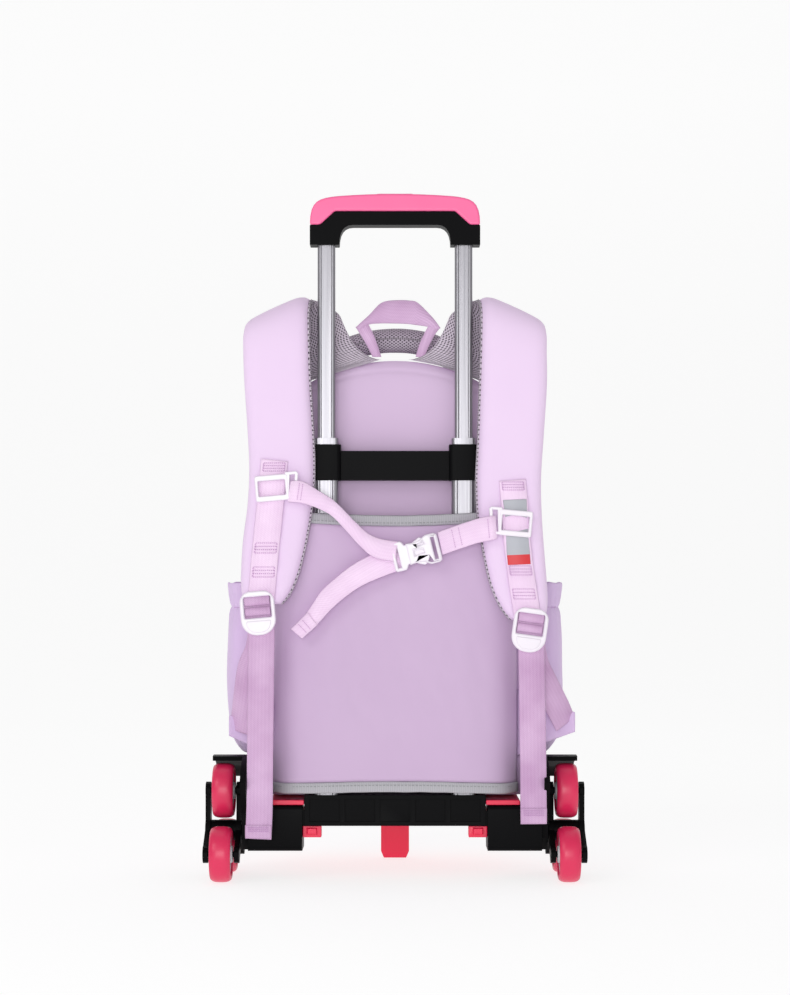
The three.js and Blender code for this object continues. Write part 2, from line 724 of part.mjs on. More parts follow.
function halfSpace(y0, y1, z0, z1) {
  return toSolid(box(-bagWidth, bagWidth, y0, y1, z0, z1));
}

function buildBag() {
  const [low, high] = [bagBottom - bagHeight, bagTop + bagHeight];
  const [behind, ahead] = [bagBack - bagDepth, bagFront + bagDepth];
  const skin = toSolid(bagBody(0)).subtract(toSolid(bagBody(-bagWall)));
  add('back_shell', skin.intersect(halfSpace(behind, zipY - fit / 2, low, high)), lilac);
  add('front_shell', skin.intersect(halfSpace(zipY + fit / 2, ahead, low, high)), lilac);
  const band = toSolid(bagBody(fit + zipThickness)).subtract(toSolid(bagBody(fit)))
    .intersect(halfSpace(zipY - zipWidth / 2, zipY + zipWidth / 2,
      bagBottom + pocketFloorRise + pocketHeight + seamGap, high));
  add('zip', band, lilacWebbing, 0.7);
}

// Height of the back panel's arched edge at a place x from the middle
function panelEdge(x) {
  const share = Math.min(Math.abs(x) / (panelWidth / 2), 1);
  return panelTop - (bagHeight * 0.095) * share ** 2 - (bagHeight * 0.06) * share ** 8;
}

function buildPanels() {
  const half = panelWidth / 2;
  const stations = 16;
  const low = beamTop + seamGap;
  const shape = new THREE.Shape();
  shape.moveTo(-half, low);
  shape.lineTo(half, low);
  for (let i = 0; i <= stations; i += 1) {
    const x = half - (2 * half * i) / stations;
    shape.lineTo(x, panelEdge(x));
  }
  add('back_panel', upright(shape, panelFace, panelFace + panelThickness), lilac);
  // A strip of the sleeve between two heights, with a dip of its upper edge in the middle
  const strip = (thickness, lowAt, highAt) => loft(sleeveStations().map(({ x, y, nx, ny }) => {
    const corners = [[0, lowAt(x)], [0, highAt(x)], [thickness, highAt(x)], [thickness, lowAt(x)]];
    return corners.map(([depth, z]) => new THREE.Vector3(x + nx * depth, y + ny * depth, z));
  }));
  const dip = (x) => sleeveDip * Math.cos((Math.PI * x) / sleeveWidth);
  const upper = (x) => sleeveTop - dip(x);
  const lower = (x) => sleeveBottom + dip(x) * 0.5;
  add('sleeve_panel', strip(sleeveThickness, (x) => lower(x) + fit / 2, (x) => upper(x) - fit / 2),
    lilac);
  add('sleeve_binding_top', strip(bindingThickness, (x) => upper(x) + fit / 2,
    (x) => upper(x) + bindingHeight), bindingGrey);
  add('sleeve_binding_bottom', strip(bindingThickness, (x) => lower(x) - bindingHeight,
    (x) => lower(x) - fit / 2), bindingGrey);
}

// Stations across the sleeve: over the tubes in the middle and back to the panel at both sides
const sleeveBow = 1.5;
function sleeveStations() {
  const half = sleeveWidth / 2;
  const depth = panelFace - sleeveFace - fit;
  const rows = [[1, 1], [0.985, 0.78], [0.93, 0.45], [0.86, 0.22], [0.74, 0.07], [0.5, 0], [0.25, 0],
    [0, 0]];
  const line = [...rows.map(([wide, back]) => [-wide, back]),
    ...rows.slice(0, -1).reverse()].map(([wide, back]) => ({
    x: wide * half,
    y: sleeveFace + depth * back - sleeveBow * (1 - wide * wide),
  }));
  return line.map((point, i) => {
    const before = line[Math.max(i - 1, 0)];
    const after = line[Math.min(i + 1, line.length - 1)];
    const [dx, dy] = [after.x - before.x, after.y - before.y];
    const length = Math.hypot(dx, dy);
    const edge = i === 0 || i === line.length - 1;
    const [nx, ny] = edge ? [i === 0 ? 1 : -1, 0] : [-dy / length, dx / length];
    return { ...point, nx, ny };
  });
}

// Side pockets: an open pouch sewn to the bag's side

// Height and bulge of each ring, as shares of the pocket's height and bulge.
const pocketRings = [
  { up: 0, out: 0.45, deep: 0.86 },
  { up: 0.12, out: 0.86, deep: 0.96 },
  { up: 0.4, out: 1, deep: 1 },
  { up: 0.72, out: 0.96, deep: 1 },
  { up: 0.88, out: 0.86, deep: 0.97 },
  { up: 1, out: 0.95, deep: 0.99 },
];

function pocketBody(sign, grow, cutThrough) {
  const wall = bagWidth / 2 + fit;
  const middle = bagBack + pocketAheadOfPanel + pocketDepth / 2;
  return loft(pocketRings.map(({ up, out, deep }, row) => {
    const z = bagBottom + pocketFloorRise + up * pocketHeight
      + (row === 0 ? -grow : 0) + (row === pocketRings.length - 1 && cutThrough ? 2 : 0);
    const half = (pocketDepth / 2) * deep + grow;
    const reach = pocketBulge * out + grow;
    const inside = cutThrough ? wall - 1 : wall;
    const points = [new THREE.Vector3(sign * inside, middle + half, z),
      new THREE.Vector3(sign * inside, middle - half, z)];
    for (let i = 0; i <= 8; i += 1) {
      const angle = Math.PI * (i / 8);
      points.push(new THREE.Vector3(sign * (wall + 0.5 + reach * Math.sin(angle) ** 0.6),
        middle - half * Math.cos(angle), z));
    }
    return points;
  }));
}

function buildPockets() {
  sides.forEach(({ name, sign }) => {
    const pouch = toSolid(pocketBody(sign, 0, false))
      .subtract(toSolid(pocketBody(sign, -pocketWall, true)));
    add(`pocket_${name}`, pouch, lilac);
  });
}

// Shoulder straps

// Edges of a strap from its seam to its lower end. The inner and outer columns give the distance
// from the strap's inner line as shares of its width, rise gives the height over the panel's top as
// a share of the fold's rise, fall the way down as a share of the strap's fall, and back the depth
// as a share of the fold's depth from the front layer to the seam.
const strapRows = [
  { inner: -0.58, innerRise: 0.52, outer: 0.56, outerRise: -0.15, innerBack: 0.99, outerBack: 0.99 },
  { inner: -0.27, innerRise: 0.86, outer: 0.9, outerRise: 0.13, innerBack: 0.97, outerBack: 0.95 },
  { inner: 0.08, innerRise: 1.05, outer: 1.04, outerRise: 0.4, innerBack: 0.95, outerBack: 0.8 },
  { inner: 0.15, innerRise: 1.04, outer: 1.08, outerRise: 0.52, innerBack: 0.56, outerBack: 0.46 },
  { inner: 0.15, innerRise: 0.84, outer: 1.09, outerRise: 0.4, innerBack: 0.23, outerBack: 0.16 },
  { inner: 0.11, innerFall: 0, outer: 1.08, outerFall: 0.075, innerBack: 0.06, outerBack: 0.03 },
  { inner: 0.07, innerFall: 0.16, outer: 1.06, outerFall: 0.19, innerBack: 0, outerBack: 0 },
  { inner: 0.02, innerFall: 0.364, outer: 1.01, outerFall: 0.364, innerBack: 0, outerBack: 0 },
  { inner: 0, innerFall: 0.504, outer: 0.985, outerFall: 0.504, innerBack: 0, outerBack: 0 },
  { inner: 0.03, innerFall: 0.629, outer: 1.01, outerFall: 0.629, innerBack: 0, outerBack: 0 },
  { inner: 0.12, innerFall: 0.758, outer: 1.08, outerFall: 0.758, innerBack: 0, outerBack: 0 },
  { inner: 0.23, innerFall: 0.867, outer: 1.11, outerFall: 0.867, innerBack: 0, outerBack: 0 },
  { inner: 0.36, innerFall: 0.945, outer: 1.11, outerFall: 0.932, innerBack: 0, outerBack: 0 },
  { inner: 0.53, innerFall: 1, outer: 1.04, outerFall: 0.992, innerBack: 0, outerBack: 0 },
];

function strapEdges(side) {
  const { name, sign } = side;
  const corner = panelTop + strapFoldRise * 0.45;
  const place = (share, rise, fall, back) => new THREE.Vector3(
    sign * (strapInner + share * strapWidth),
    strapFront + back * strapFoldDepth,
    fall === undefined ? panelTop + rise * strapFoldRise : corner - fall * strapFall[name]);
  const rootInner = new THREE.Vector3(sign * strapRootInner, strapRear,
    panelEdge(strapRootInner) + strapEndGap);
  const rootX = strapRootInner + strapWidth * 1.12;
  const rootOuter = new THREE.Vector3(sign * rootX, strapRear, panelEdge(rootX) + strapEndGap);
  const inner = [rootInner, ...strapRows.map((row) => place(row.inner, row.innerRise,
    row.innerFall, row.innerBack))];
  const outer = [rootOuter, ...strapRows.map((row) => place(row.outer, row.outerRise,
    row.outerFall, row.outerBack))];
  return { inner: new THREE.CatmullRomCurve3(inner), outer: new THREE.CatmullRomCurve3(outer) };
}

const strapRim = 0.08; // width of the rounded rim, as a share of the strap's width
const strapSettle = 6; // rings over which the cut end follows the panel's arch

// A layer of the strap between two distances from its middle surface. The lower layer lists its
// sections backwards, so that the faces of both layers are split along the same lines.
function strapLayer(side, from, to, backwards) {
  const { inner, outer } = strapEdges(side);
  const steps = 20;
  const rows = [];
  for (let i = 0; i <= steps; i += 1) {
    rows.push({ a: inner.getPoint(i / steps), b: outer.getPoint(i / steps) });
  }
  const middle = rows.map(({ a, b }) => a.clone().add(b).multiplyScalar(0.5));
  const rings = rows.map(({ a, b }, i) => {
    const along = middle[Math.min(i + 1, steps)].clone().sub(middle[Math.max(i - 1, 0)]).normalize();
    const across = b.clone().sub(a);
    const out = across.clone().cross(along).multiplyScalar(-side.sign).normalize();
    const thin = (from + to) / 2;
    const settle = Math.max(0, 1 - i / strapSettle);
    const section = [[0, thin], [strapRim, from], [0.5, from], [1 - strapRim, from], [1, thin],
      [1 - strapRim, to], [0.5, to], [strapRim, to]];
    return (backwards ? section.reverse() : section).map(([u, v]) => {
      const line = a.clone().addScaledVector(across, u);
      line.z += settle * (panelEdge(line.x) + strapEndGap - line.z);
      return line.addScaledVector(out, v);
    });
  });
  return loft(rings);
}

function buildStraps() {
  const outside = (strapPadThickness + strapMeshThickness) / 2;
  const seam = -outside + strapMeshThickness;
  sides.forEach((side) => {
    add(`strap_pad_${side.name}`, strapLayer(side, seam + layerGap, outside, false), lilac);
    add(`strap_mesh_${side.name}`, strapLayer(side, -outside, seam, true), meshGrey);
  });
}

// Webbing on the straps, ladder locks, the anchored webbing with its free tail, and the wings

const webbingY = strapSkin - fit - webbingThickness / 2;
const labelY = webbingY - webbingThickness / 2 - fit - labelThickness;
const hardwareY = labelY - fit; // back of the sliders
const lockY = webbingY - webbingThickness / 2 - fit; // back of the ladder locks
const sideways = new THREE.Vector3(1, 0, 0);
const upwards = new THREE.Vector3(0, 0, 1);

// How far the webbing wanders outward on its way down, as shares of the way from strap to lock
const webbingRows = [
  { down: 0, out: 0 }, { down: 0.25, out: 0.1 }, { down: 0.5, out: 0.32 }, { down: 0.75, out: 0.62 },
  { down: 1, out: 1 },
];
const webbingStart = 113; // from the middle to the webbing's middle at its upper end

function strapWebbingPath({ name, sign }) {
  const [top, end] = [webbingTop[name], lockCentre[name] + lockBar + lockWindow / 2];
  return webbingRows.map(({ down, out }) => ({
    at: new THREE.Vector3(sign * (webbingStart + out * (lockOut - webbingStart)), webbingY,
      top - down * (top - end)),
    across: sideways,
  }));
}

function lowerWebbingPath({ name, sign }) {
  const anchor = webbingY + tailLead;
  const fold = lockCentre[name] + 2;
  const tipY = wingTipY - wingThickness / 2 - fit - webbingThickness / 2;
  const tilt = new THREE.Vector3(1, 0, sign * 0.3);
  const at = (x, y, z, across = sideways, wide = 1) => ({
    at: new THREE.Vector3(sign * x, y, z), across, wide,
  });
  const drop = fold - wingTipHeight;
  const out = wingTipOut - lockOut;
  return [
    at(wingTipOut - wingThickness, tipY, wingTipHeight - 2, tilt, 0.62),
    at(lockOut + out * 0.72, tipY + (anchor - tipY) * 0.25, wingTipHeight + drop * 0.22, tilt, 0.9),
    at(lockOut + out * 0.3, tipY + (anchor - tipY) * 0.7, wingTipHeight + drop * 0.55, tilt),
    at(lockOut + out * 0.06, anchor, wingTipHeight + drop * 0.84),
    at(lockOut, anchor, fold - webbingThickness),
    at(lockOut, (anchor + webbingY) / 2, fold),
    at(lockOut, webbingY, fold - webbingThickness),
    at(lockOut - 1, webbingY + 0.4, lockCentre[name] - lockHeight / 2),
    at(lockOut - 2, webbingY + 1, (lockCentre[name] + tailEnd[name]) / 2),
    at(lockOut - 1, webbingY, tailEnd[name]),
  ];
}

function buildLock({ name, sign }) {
  const outline = roundedRect(lockWidth, lockHeight, 8);
  const z0 = lockCentre[name];
  const windows = [0, 1].map((i) => {
    const top = lockHeight / 2 - lockBar - i * (lockWindow + lockBar * 0.5);
    return box(-webbingWidth / 2 - 1, webbingWidth / 2 + 1, -lockThickness - 1, 1,
      top - lockWindow, top);
  });
  const body = cut(toSolid(upright(outline, -lockThickness, 0, 5)), windows);
  add(`ladder_lock_${name}`, body.translate([sign * lockOut, lockY, z0]), plasticWhite, 0.4);
}

const wingTipY = 0;

function buildWing({ name, sign }) {
  const rootX = panelWidth / 2 + fit;
  const rootY = panelFace + panelThickness / 2;
  const ring = (x, y, half, middle) => [[0, -half], [0, half], [wingThickness, half],
    [wingThickness, -half]].map(([depth, z]) => new THREE.Vector3(sign * x, y + depth, middle + z));
  const lead = wingThickness / 2;
  add(`wing_${name}`, loft([ring(rootX, rootY - lead, wingHeight / 2, wingTipHeight),
    ring((rootX + wingTipOut) / 2, (rootY + wingTipY) / 2 - lead, wingHeight * 0.32, wingTipHeight),
    ring(wingTipOut, wingTipY - lead, wingHeight * 0.15, wingTipHeight)]), lilac);
}

function buildWebbing() {
  sides.forEach((side) => {
    add(`strap_webbing_${side.name}`, ribbon(strapWebbingPath(side), webbingWidth, webbingThickness),
      lilacWebbing);
    add(`lower_webbing_${side.name}`, ribbon(lowerWebbingPath(side), webbingWidth, webbingThickness),
      lilacWebbing);
    buildLock(side);
    buildWing(side);
  });
  const labelX = webbingStart + 3;
  add('label', box(labelX - labelWidth / 2, labelX + labelWidth / 2, labelY,
    labelY + labelThickness, labelTop - labelHeight, labelTop), labelSilver, 0.5);
}

// Sternum strap: two sliders, two halves of webbing and a side-release buckle

function buildSlider({ name, sign }) {
  const frame = roundedRect(sliderWidth, sliderHeight, 3);
  const loopX = -sign * (sliderWidth / 2 + sliderLoop / 2 - 1);
  const loop = upright(roundedRect(sliderLoop, sliderHeight + 4, 3), -sliderThickness, 0)
    .translate(loopX, 0, 0);
  const window = box(-sliderWidth / 2 + sliderRim, sliderWidth / 2 - sliderRim,
    -sliderThickness - 1, 1, -sliderHeight / 2 + sliderRim, sliderHeight / 2 - sliderRim);
  const slot = box(loopX - 1.6, loopX + 1.6, -sliderThickness - 1, 1,
    -sternumWidth / 2 - 0.5, sternumWidth / 2 + 0.5);
  add(`sternum_slider_${name}`, cut(union([upright(frame, -sliderThickness, 0), loop]),
    [window, slot]).translate([sign * sliderOut, hardwareY, sliderCentre[name]]), plasticWhite, 0.4);
}

// Way along X and way down of the sternum webbing, as shares of the way between its two ends
const sternumRows = [
  { along: 0, down: 0 }, { along: 0.25, down: 0.11 }, { along: 0.5, down: 0.38 },
  { along: 0.8, down: 0.8 }, { along: 1, down: 1 },
];
const sternumTailRows = [
  { along: 0.3, down: 0.17 }, { along: 0.6, down: 0.43 }, { along: 0.84, down: 0.73 },
  { along: 1, down: 1 },
];
const webbingStandOff = 4.4; // from the buckle's end to the middle of the fold
const buckleSetIn = 9; // the webbing lies square to the buckle this close to it
const sternumTailReach = 91;
const sternumTailDrop = 72;
const buckleY = -buckleForward;
const sternumFront = hardwareY - sliderThickness - fit - sternumThickness / 2;

function bucklePoint(alongBuckle) {
  const tilt = THREE.MathUtils.degToRad(buckleTilt);
  return { x: buckleOut + alongBuckle * Math.cos(tilt), z: buckleCentre + alongBuckle * Math.sin(tilt) };
}

function buildSternum() {
  const loopOut = sliderOut - sliderWidth / 2 - sliderLoop / 2 - 1;
  const leftEnd = bucklePoint(-buckleLength / 2 - webbingStandOff);
  const rightEnd = bucklePoint(buckleLength / 2 + webbingStandOff / 2);
  const front = buckleY - 1.5;
  const way = (rows, from, to, y0, y1) => rows.map(({ along, down }) => new THREE.Vector3(
    from.x + along * (to.x - from.x), y0 + along * (y1 - y0), from.z + down * (to.z - from.z)));
  const incoming = smoothPath(way(sternumRows, { x: -loopOut, z: sliderCentre.left },
    { x: leftEnd.x - 2, z: leftEnd.z }, sternumFront, front), 12);
  const tailTo = { x: leftEnd.x - sternumTailReach, z: leftEnd.z - sternumTailDrop };
  const tail = smoothPath(way([{ along: 0.03, down: 0.02 }, ...sternumTailRows], leftEnd, tailTo,
    buckleY + 1.5, buckleY + 1.5), 10);
  const fold = new THREE.Vector3(leftEnd.x, buckleY, leftEnd.z);
  const tilt = THREE.MathUtils.degToRad(buckleTilt);
  const buckleUp = new THREE.Vector3(-Math.sin(tilt), 0, Math.cos(tilt));
  const station = (at, near) => ({ at, across: near < buckleSetIn ? buckleUp : upwards });
  const stations = [...incoming, fold, ...tail].map((at) => station(at, leftEnd.x - at.x));
  add('sternum_webbing_left', ribbon(stations, sternumWidth, sternumThickness), lilacWebbing);
  const right = smoothPath([new THREE.Vector3(rightEnd.x, buckleY, rightEnd.z),
    new THREE.Vector3((rightEnd.x + loopOut) / 2, (buckleY + sternumFront) / 2 - 1,
      (rightEnd.z + sliderCentre.right) / 2 - 1),
    new THREE.Vector3(loopOut, sternumFront, sliderCentre.right)], 8);
  add('sternum_webbing_right', ribbon(right.map((at) => station(at, at.x - rightEnd.x)),
    sternumWidth, sternumThickness), lilacWebbing);
}

function buildBuckle() {
  const half = buckleThickness / 2;
  const share = 0.36; // the male half's visible share of the length
  const split = -buckleLength / 2 + buckleLength * share;
  const place = (solid) => solid.rotate([0, -buckleTilt, 0])
    .translate([buckleOut, buckleY, buckleCentre]);
  const male = roundedRect(buckleLength * share, buckleHeight, 3);
  const maleX = -buckleLength / 2 + (buckleLength * share) / 2;
  const slot = box(maleX - 4, maleX - 0.5, -half - 1, half + 1, -sternumWidth / 2 - 0.5,
    sternumWidth / 2 + 0.5);
  add('buckle_male', place(cut(toSolid(upright(male, -half * 0.8, half * 0.8).translate(maleX, 0, 0)),
    [slot])), plasticWhite, 0.4);
  const female = new THREE.Shape();
  const [x0, x1, z] = [split + fit, buckleLength / 2, buckleHeight / 2];
  female.moveTo(x0, -z * 0.8);
  female.quadraticCurveTo((x0 + x1) / 2, -z * 0.62, x1 - 8, -z);
  female.lineTo(x1, -z * 0.9);
  female.lineTo(x1, z * 0.9);
  female.lineTo(x1 - 8, z);
  female.quadraticCurveTo((x0 + x1) / 2, z * 0.62, x0, z * 0.8);
  const bar = box(x1 - 7, x1 - 3.5, -half - 1, half + 1, -sternumWidth / 2 - 0.5,
    sternumWidth / 2 + 0.5);
  add('buckle_female', place(cut(toSolid(upright(female, -half, half, 5)), [bar])), plasticWhite, 0.4);
}

// Grab handle on the bag's top and the webbing loop in front of it

// Place along the span and height of the grab handle's middle line, as shares of half its span and
// of its rise
const grabRows = [
  { along: -1.25, rise: 0.1 }, { along: -0.95, rise: 0.62 }, { along: -0.5, rise: 0.95 },
  { along: 0, rise: 1.05 }, { along: 0.5, rise: 0.95 }, { along: 0.95, rise: 0.62 },
  { along: 1.25, rise: 0.1 },
];

function buildGrabHandle() {
  const y = strapRear + (strapPadThickness + strapMeshThickness) / 2 + seamGap + grabThickness / 2;
  const path = new THREE.CatmullRomCurve3(grabRows.map(({ along, rise }) => new THREE.Vector3(
    (along * grabSpan) / 2, y, bagTop + rise * grabRise)));
  const section = new THREE.Shape();
  section.absarc(0, 0, grabThickness / 2, 0, 2 * Math.PI);
  add('grab_handle', new THREE.ExtrudeGeometry(section, { steps: 12, curveSegments: 5,
    extrudePath: path, bevelEnabled: false }), meshGrey);
}

function buildLoop() {
  const y1 = strapRear - (strapPadThickness + strapMeshThickness) / 2 - fit;
  const low = panelTop + fit;
  const top = low + loopHeight;
  const [corner, apex] = [loopWidth / 2, loopWidth * 0.17];
  const shoulder = top - loopBand;
  const root = loopWidth * 0.27;
  const shape = new THREE.Shape();
  shape.moveTo(-root, low);
  shape.lineTo(-corner, shoulder);
  shape.lineTo(-apex, top);
  shape.lineTo(apex, top);
  shape.lineTo(corner, shoulder);
  shape.lineTo(root, low);
  shape.lineTo(root - loopLeg, low);
  shape.lineTo(corner - loopLeg * 2, shoulder);
  shape.lineTo(-corner + loopLeg * 2, shoulder);
  shape.lineTo(-root + loopLeg, low);
  add('webbing_loop', upright(shape, y1 - loopThickness, y1), lilacWebbing);
}

buildTubes();
buildBridge();
buildHandle();
buildBase();
buildFenders();
buildStars();
buildTray();
buildBag();
buildPanels();
buildPockets();
buildStraps();
buildWebbing();
sides.forEach(buildSlider);
buildSternum();
buildBuckle();
buildGrabHandle();
buildLoop();

// The origin is the middle of the object's box, on the floor

const wheelBack = hubY - starArm * Math.cos(Math.PI / 6) - wheelRadius;
group.position.y = -(wheelBack + bagFront) / 2;

export default group;
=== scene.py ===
# %% [markdown]
# # A trolley backpack, dressed for its portrait
# The hard skeleton of the bag comes from a packed model that never moves. Everything soft, and
# every hard piece that needs rounder edges, is modelled here in metres around that skeleton.
# The first cell loads the skeleton and can give the box of any of its parts.
# The finished bag may not outgrow it.

# %% Load the skeleton
import json
import math

import bmesh
import bpy
from mathutils import Matrix, Vector, noise

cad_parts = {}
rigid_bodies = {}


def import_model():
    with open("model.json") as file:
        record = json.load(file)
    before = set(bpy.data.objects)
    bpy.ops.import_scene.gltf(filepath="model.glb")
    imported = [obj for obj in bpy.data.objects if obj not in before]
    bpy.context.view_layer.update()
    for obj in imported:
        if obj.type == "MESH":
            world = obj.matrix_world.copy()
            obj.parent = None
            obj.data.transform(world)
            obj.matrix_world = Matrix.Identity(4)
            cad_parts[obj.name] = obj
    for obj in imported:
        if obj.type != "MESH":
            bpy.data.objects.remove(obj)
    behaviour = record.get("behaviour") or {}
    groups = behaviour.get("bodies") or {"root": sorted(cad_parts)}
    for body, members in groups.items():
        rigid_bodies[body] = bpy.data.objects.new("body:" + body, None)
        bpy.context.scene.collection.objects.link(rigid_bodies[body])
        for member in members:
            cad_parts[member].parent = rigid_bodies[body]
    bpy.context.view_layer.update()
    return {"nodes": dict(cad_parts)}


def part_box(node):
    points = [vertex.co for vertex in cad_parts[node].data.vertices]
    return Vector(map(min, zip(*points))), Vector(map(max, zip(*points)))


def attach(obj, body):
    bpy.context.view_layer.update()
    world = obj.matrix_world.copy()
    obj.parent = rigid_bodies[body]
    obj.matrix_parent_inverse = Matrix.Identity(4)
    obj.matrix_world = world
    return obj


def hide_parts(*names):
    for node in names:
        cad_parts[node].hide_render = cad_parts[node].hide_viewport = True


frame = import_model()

# %% [markdown]
# The picture was taken straight at the harness side, from far away, with the lens shifted up
# rather than the camera tilted: the uprights stay parallel. A shifted camera does the same here.
# Its height is the height at which level edges run flat in the picture.

# %% Camera
IMAGE_WIDTH, IMAGE_HEIGHT = 790, 995
HARNESS_BEHIND_TUBES = 0.030
CAMERA_DISTANCE = 2.0
CAMERA_HEIGHT = 0.293
FOCAL_PIXELS = 2106
HORIZON_PIXEL = 575
SENSOR = 36.0


def middle(node):
    low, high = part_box(node)
    return (low + high) / 2


tube_y = middle("outer_tube_left").y
harness_y = tube_y - HARNESS_BEHIND_TUBES
camera_data = bpy.data.cameras.new("portrait_camera")
camera = bpy.data.objects.new("portrait_camera", camera_data)
bpy.context.scene.collection.objects.link(camera)
camera.location = (0, harness_y - CAMERA_DISTANCE, CAMERA_HEIGHT)
camera.rotation_euler = (math.radians(90), 0, 0)
camera_data.sensor_width = SENSOR
camera_data.lens = FOCAL_PIXELS * SENSOR / IMAGE_HEIGHT
camera_data.shift_y = (HORIZON_PIXEL - IMAGE_HEIGHT / 2) / IMAGE_HEIGHT
camera_data.clip_end = 30
bpy.context.scene.camera = camera
print("lens", round(camera_data.lens, 1), "mm")

# %% [markdown]
# A studio sweep is one pale sheet that runs flat under the bag and curves up behind it. It glows
# a little, as paper does when it is lit from behind. Three large soft lamps, a low one for the
# wheels and a bright world leave only a faint shadow.

# %% Floor and lamps
SWEEP_WIDTH, SWEEP_NEAR, SWEEP_FAR, SWEEP_RISE = 24.0, -9.0, 3.2, 6.0
SWEEP_RADIUS, SWEEP_STEPS = 1.5, 12


def sweep_profile():
    points = [(SWEEP_NEAR, 0.0), (SWEEP_FAR - SWEEP_RADIUS, 0.0)]
    for step in range(1, SWEEP_STEPS + 1):
        angle = math.pi / 2 * step / SWEEP_STEPS
        points.append((SWEEP_FAR - SWEEP_RADIUS + SWEEP_RADIUS * math.sin(angle),
                       SWEEP_RADIUS * (1 - math.cos(angle))))
    return points + [(SWEEP_FAR, SWEEP_RISE)]


def new_object(name, vertices, faces):
    mesh = bpy.data.meshes.new(name)
    mesh.from_pydata([tuple(v) for v in vertices], [], faces)
    mesh.validate()
    mesh.update()
    item = bpy.data.objects.new(name, mesh)
    bpy.context.scene.collection.objects.link(item)
    return item


profile = sweep_profile()
corners = [(side * SWEEP_WIDTH / 2, y, z) for y, z in profile for side in (-1, 1)]
strips = [(2 * i, 2 * i + 1, 2 * i + 3, 2 * i + 2) for i in range(len(profile) - 1)]
floor = new_object("studio_floor", corners, strips)
for face in floor.data.polygons:
    face.use_smooth = True
SWEEP_GLOW, SWEEP_GREY = 0.765, 0.29
sweep_finish = bpy.data.materials.new("studio_paper")
sweep_finish.use_nodes = True
paper = sweep_finish.node_tree.nodes["Principled BSDF"]
paper.inputs["Base Color"].default_value = (SWEEP_GREY, SWEEP_GREY, SWEEP_GREY, 1)
paper.inputs["Roughness"].default_value = 0.9
paper.inputs["Specular IOR Level"].default_value = 0.0
paper.inputs["Emission Color"].default_value = (1, 1, 1, 1)
paper.inputs["Emission Strength"].default_value = SWEEP_GLOW
floor.data.materials.append(sweep_finish)


def soft_lamp(name, place, aim, size, power, colour=(1, 1, 1)):
    data = bpy.data.lights.new(name, "AREA")
    data.energy, data.size, data.color = power, size, colour
    lamp = bpy.data.objects.new(name, data)
    lamp.location = place
    lamp.rotation_euler = (Vector(aim) - Vector(place)).to_track_quat("-Z", "Y").to_euler()
    bpy.context.scene.collection.objects.link(lamp)


BAG_MIDDLE = (0, 0, 0.3)
soft_lamp("key_lamp", (-1.7, -2.3, 1.9), BAG_MIDDLE, 1.4, 17.5)
soft_lamp("fill_lamp", (2.0, -2.2, 1.2), BAG_MIDDLE, 1.8, 4.4)
soft_lamp("top_lamp", (0, 0.6, 2.6), BAG_MIDDLE, 1.8, 5.3)
soft_lamp("low_lamp", (-0.2, -2.4, 0.35), (0, 0, 0.06), 1.0, 18)

WORLD_STRENGTH = 0.38
world = bpy.data.worlds.new("studio_world")
world.use_nodes = True
world.node_tree.nodes["Background"].inputs["Color"].default_value = (1, 1, 1, 1)
world.node_tree.nodes["Background"].inputs["Strength"].default_value = WORLD_STRENGTH
bpy.context.scene.world = world
bpy.context.scene.view_settings.view_transform = "Standard"

# %% [markdown]
# Finishes are built from nodes. Writing node sums by hand is slow to read, so one small class
# wraps a socket and turns ordinary Python sums into Math nodes. A second one holds a material
# and has a single method for every other node: its settings are made first, then its inputs.

# %% A socket that can be used in sums


class Signal:
    """One output socket of a material's node tree."""

    def __init__(self, finish, socket):
        self.finish, self.socket = finish, socket

    def math(self, operation, *inputs):
        values = dict(enumerate(inputs))
        return self.finish.node("ShaderNodeMath", {"operation": operation}, values)[0]

    def __add__(self, other):
        return self.math("ADD", self, other)

    def __radd__(self, other):
        return self.math("ADD", other, self)

    def __sub__(self, other):
        return self.math("SUBTRACT", self, other)

    def __rsub__(self, other):
        return self.math("SUBTRACT", other, self)

    def __mul__(self, other):
        return self.math("MULTIPLY", self, other)

    def __rmul__(self, other):
        return self.math("MULTIPLY", other, self)

    def __lt__(self, other):
        return self.math("LESS_THAN", self, other)

    def __gt__(self, other):
        return self.math("GREATER_THAN", self, other)

    def sine(self):
        return self.math("SINE", self)

    def clamped(self):
        return self.math("MAXIMUM", self.math("MINIMUM", self, 1.0), 0.0)


print("a socket takes part in", sum(name.startswith("__") for name in vars(Signal)), "kinds of sum")

# %% [markdown]
# The second helper holds one material. What changes over a surface goes through feed, into a few
# inputs only; what is the same everywhere is set as a constant when the material is made.

# %% A material that adds nodes by name


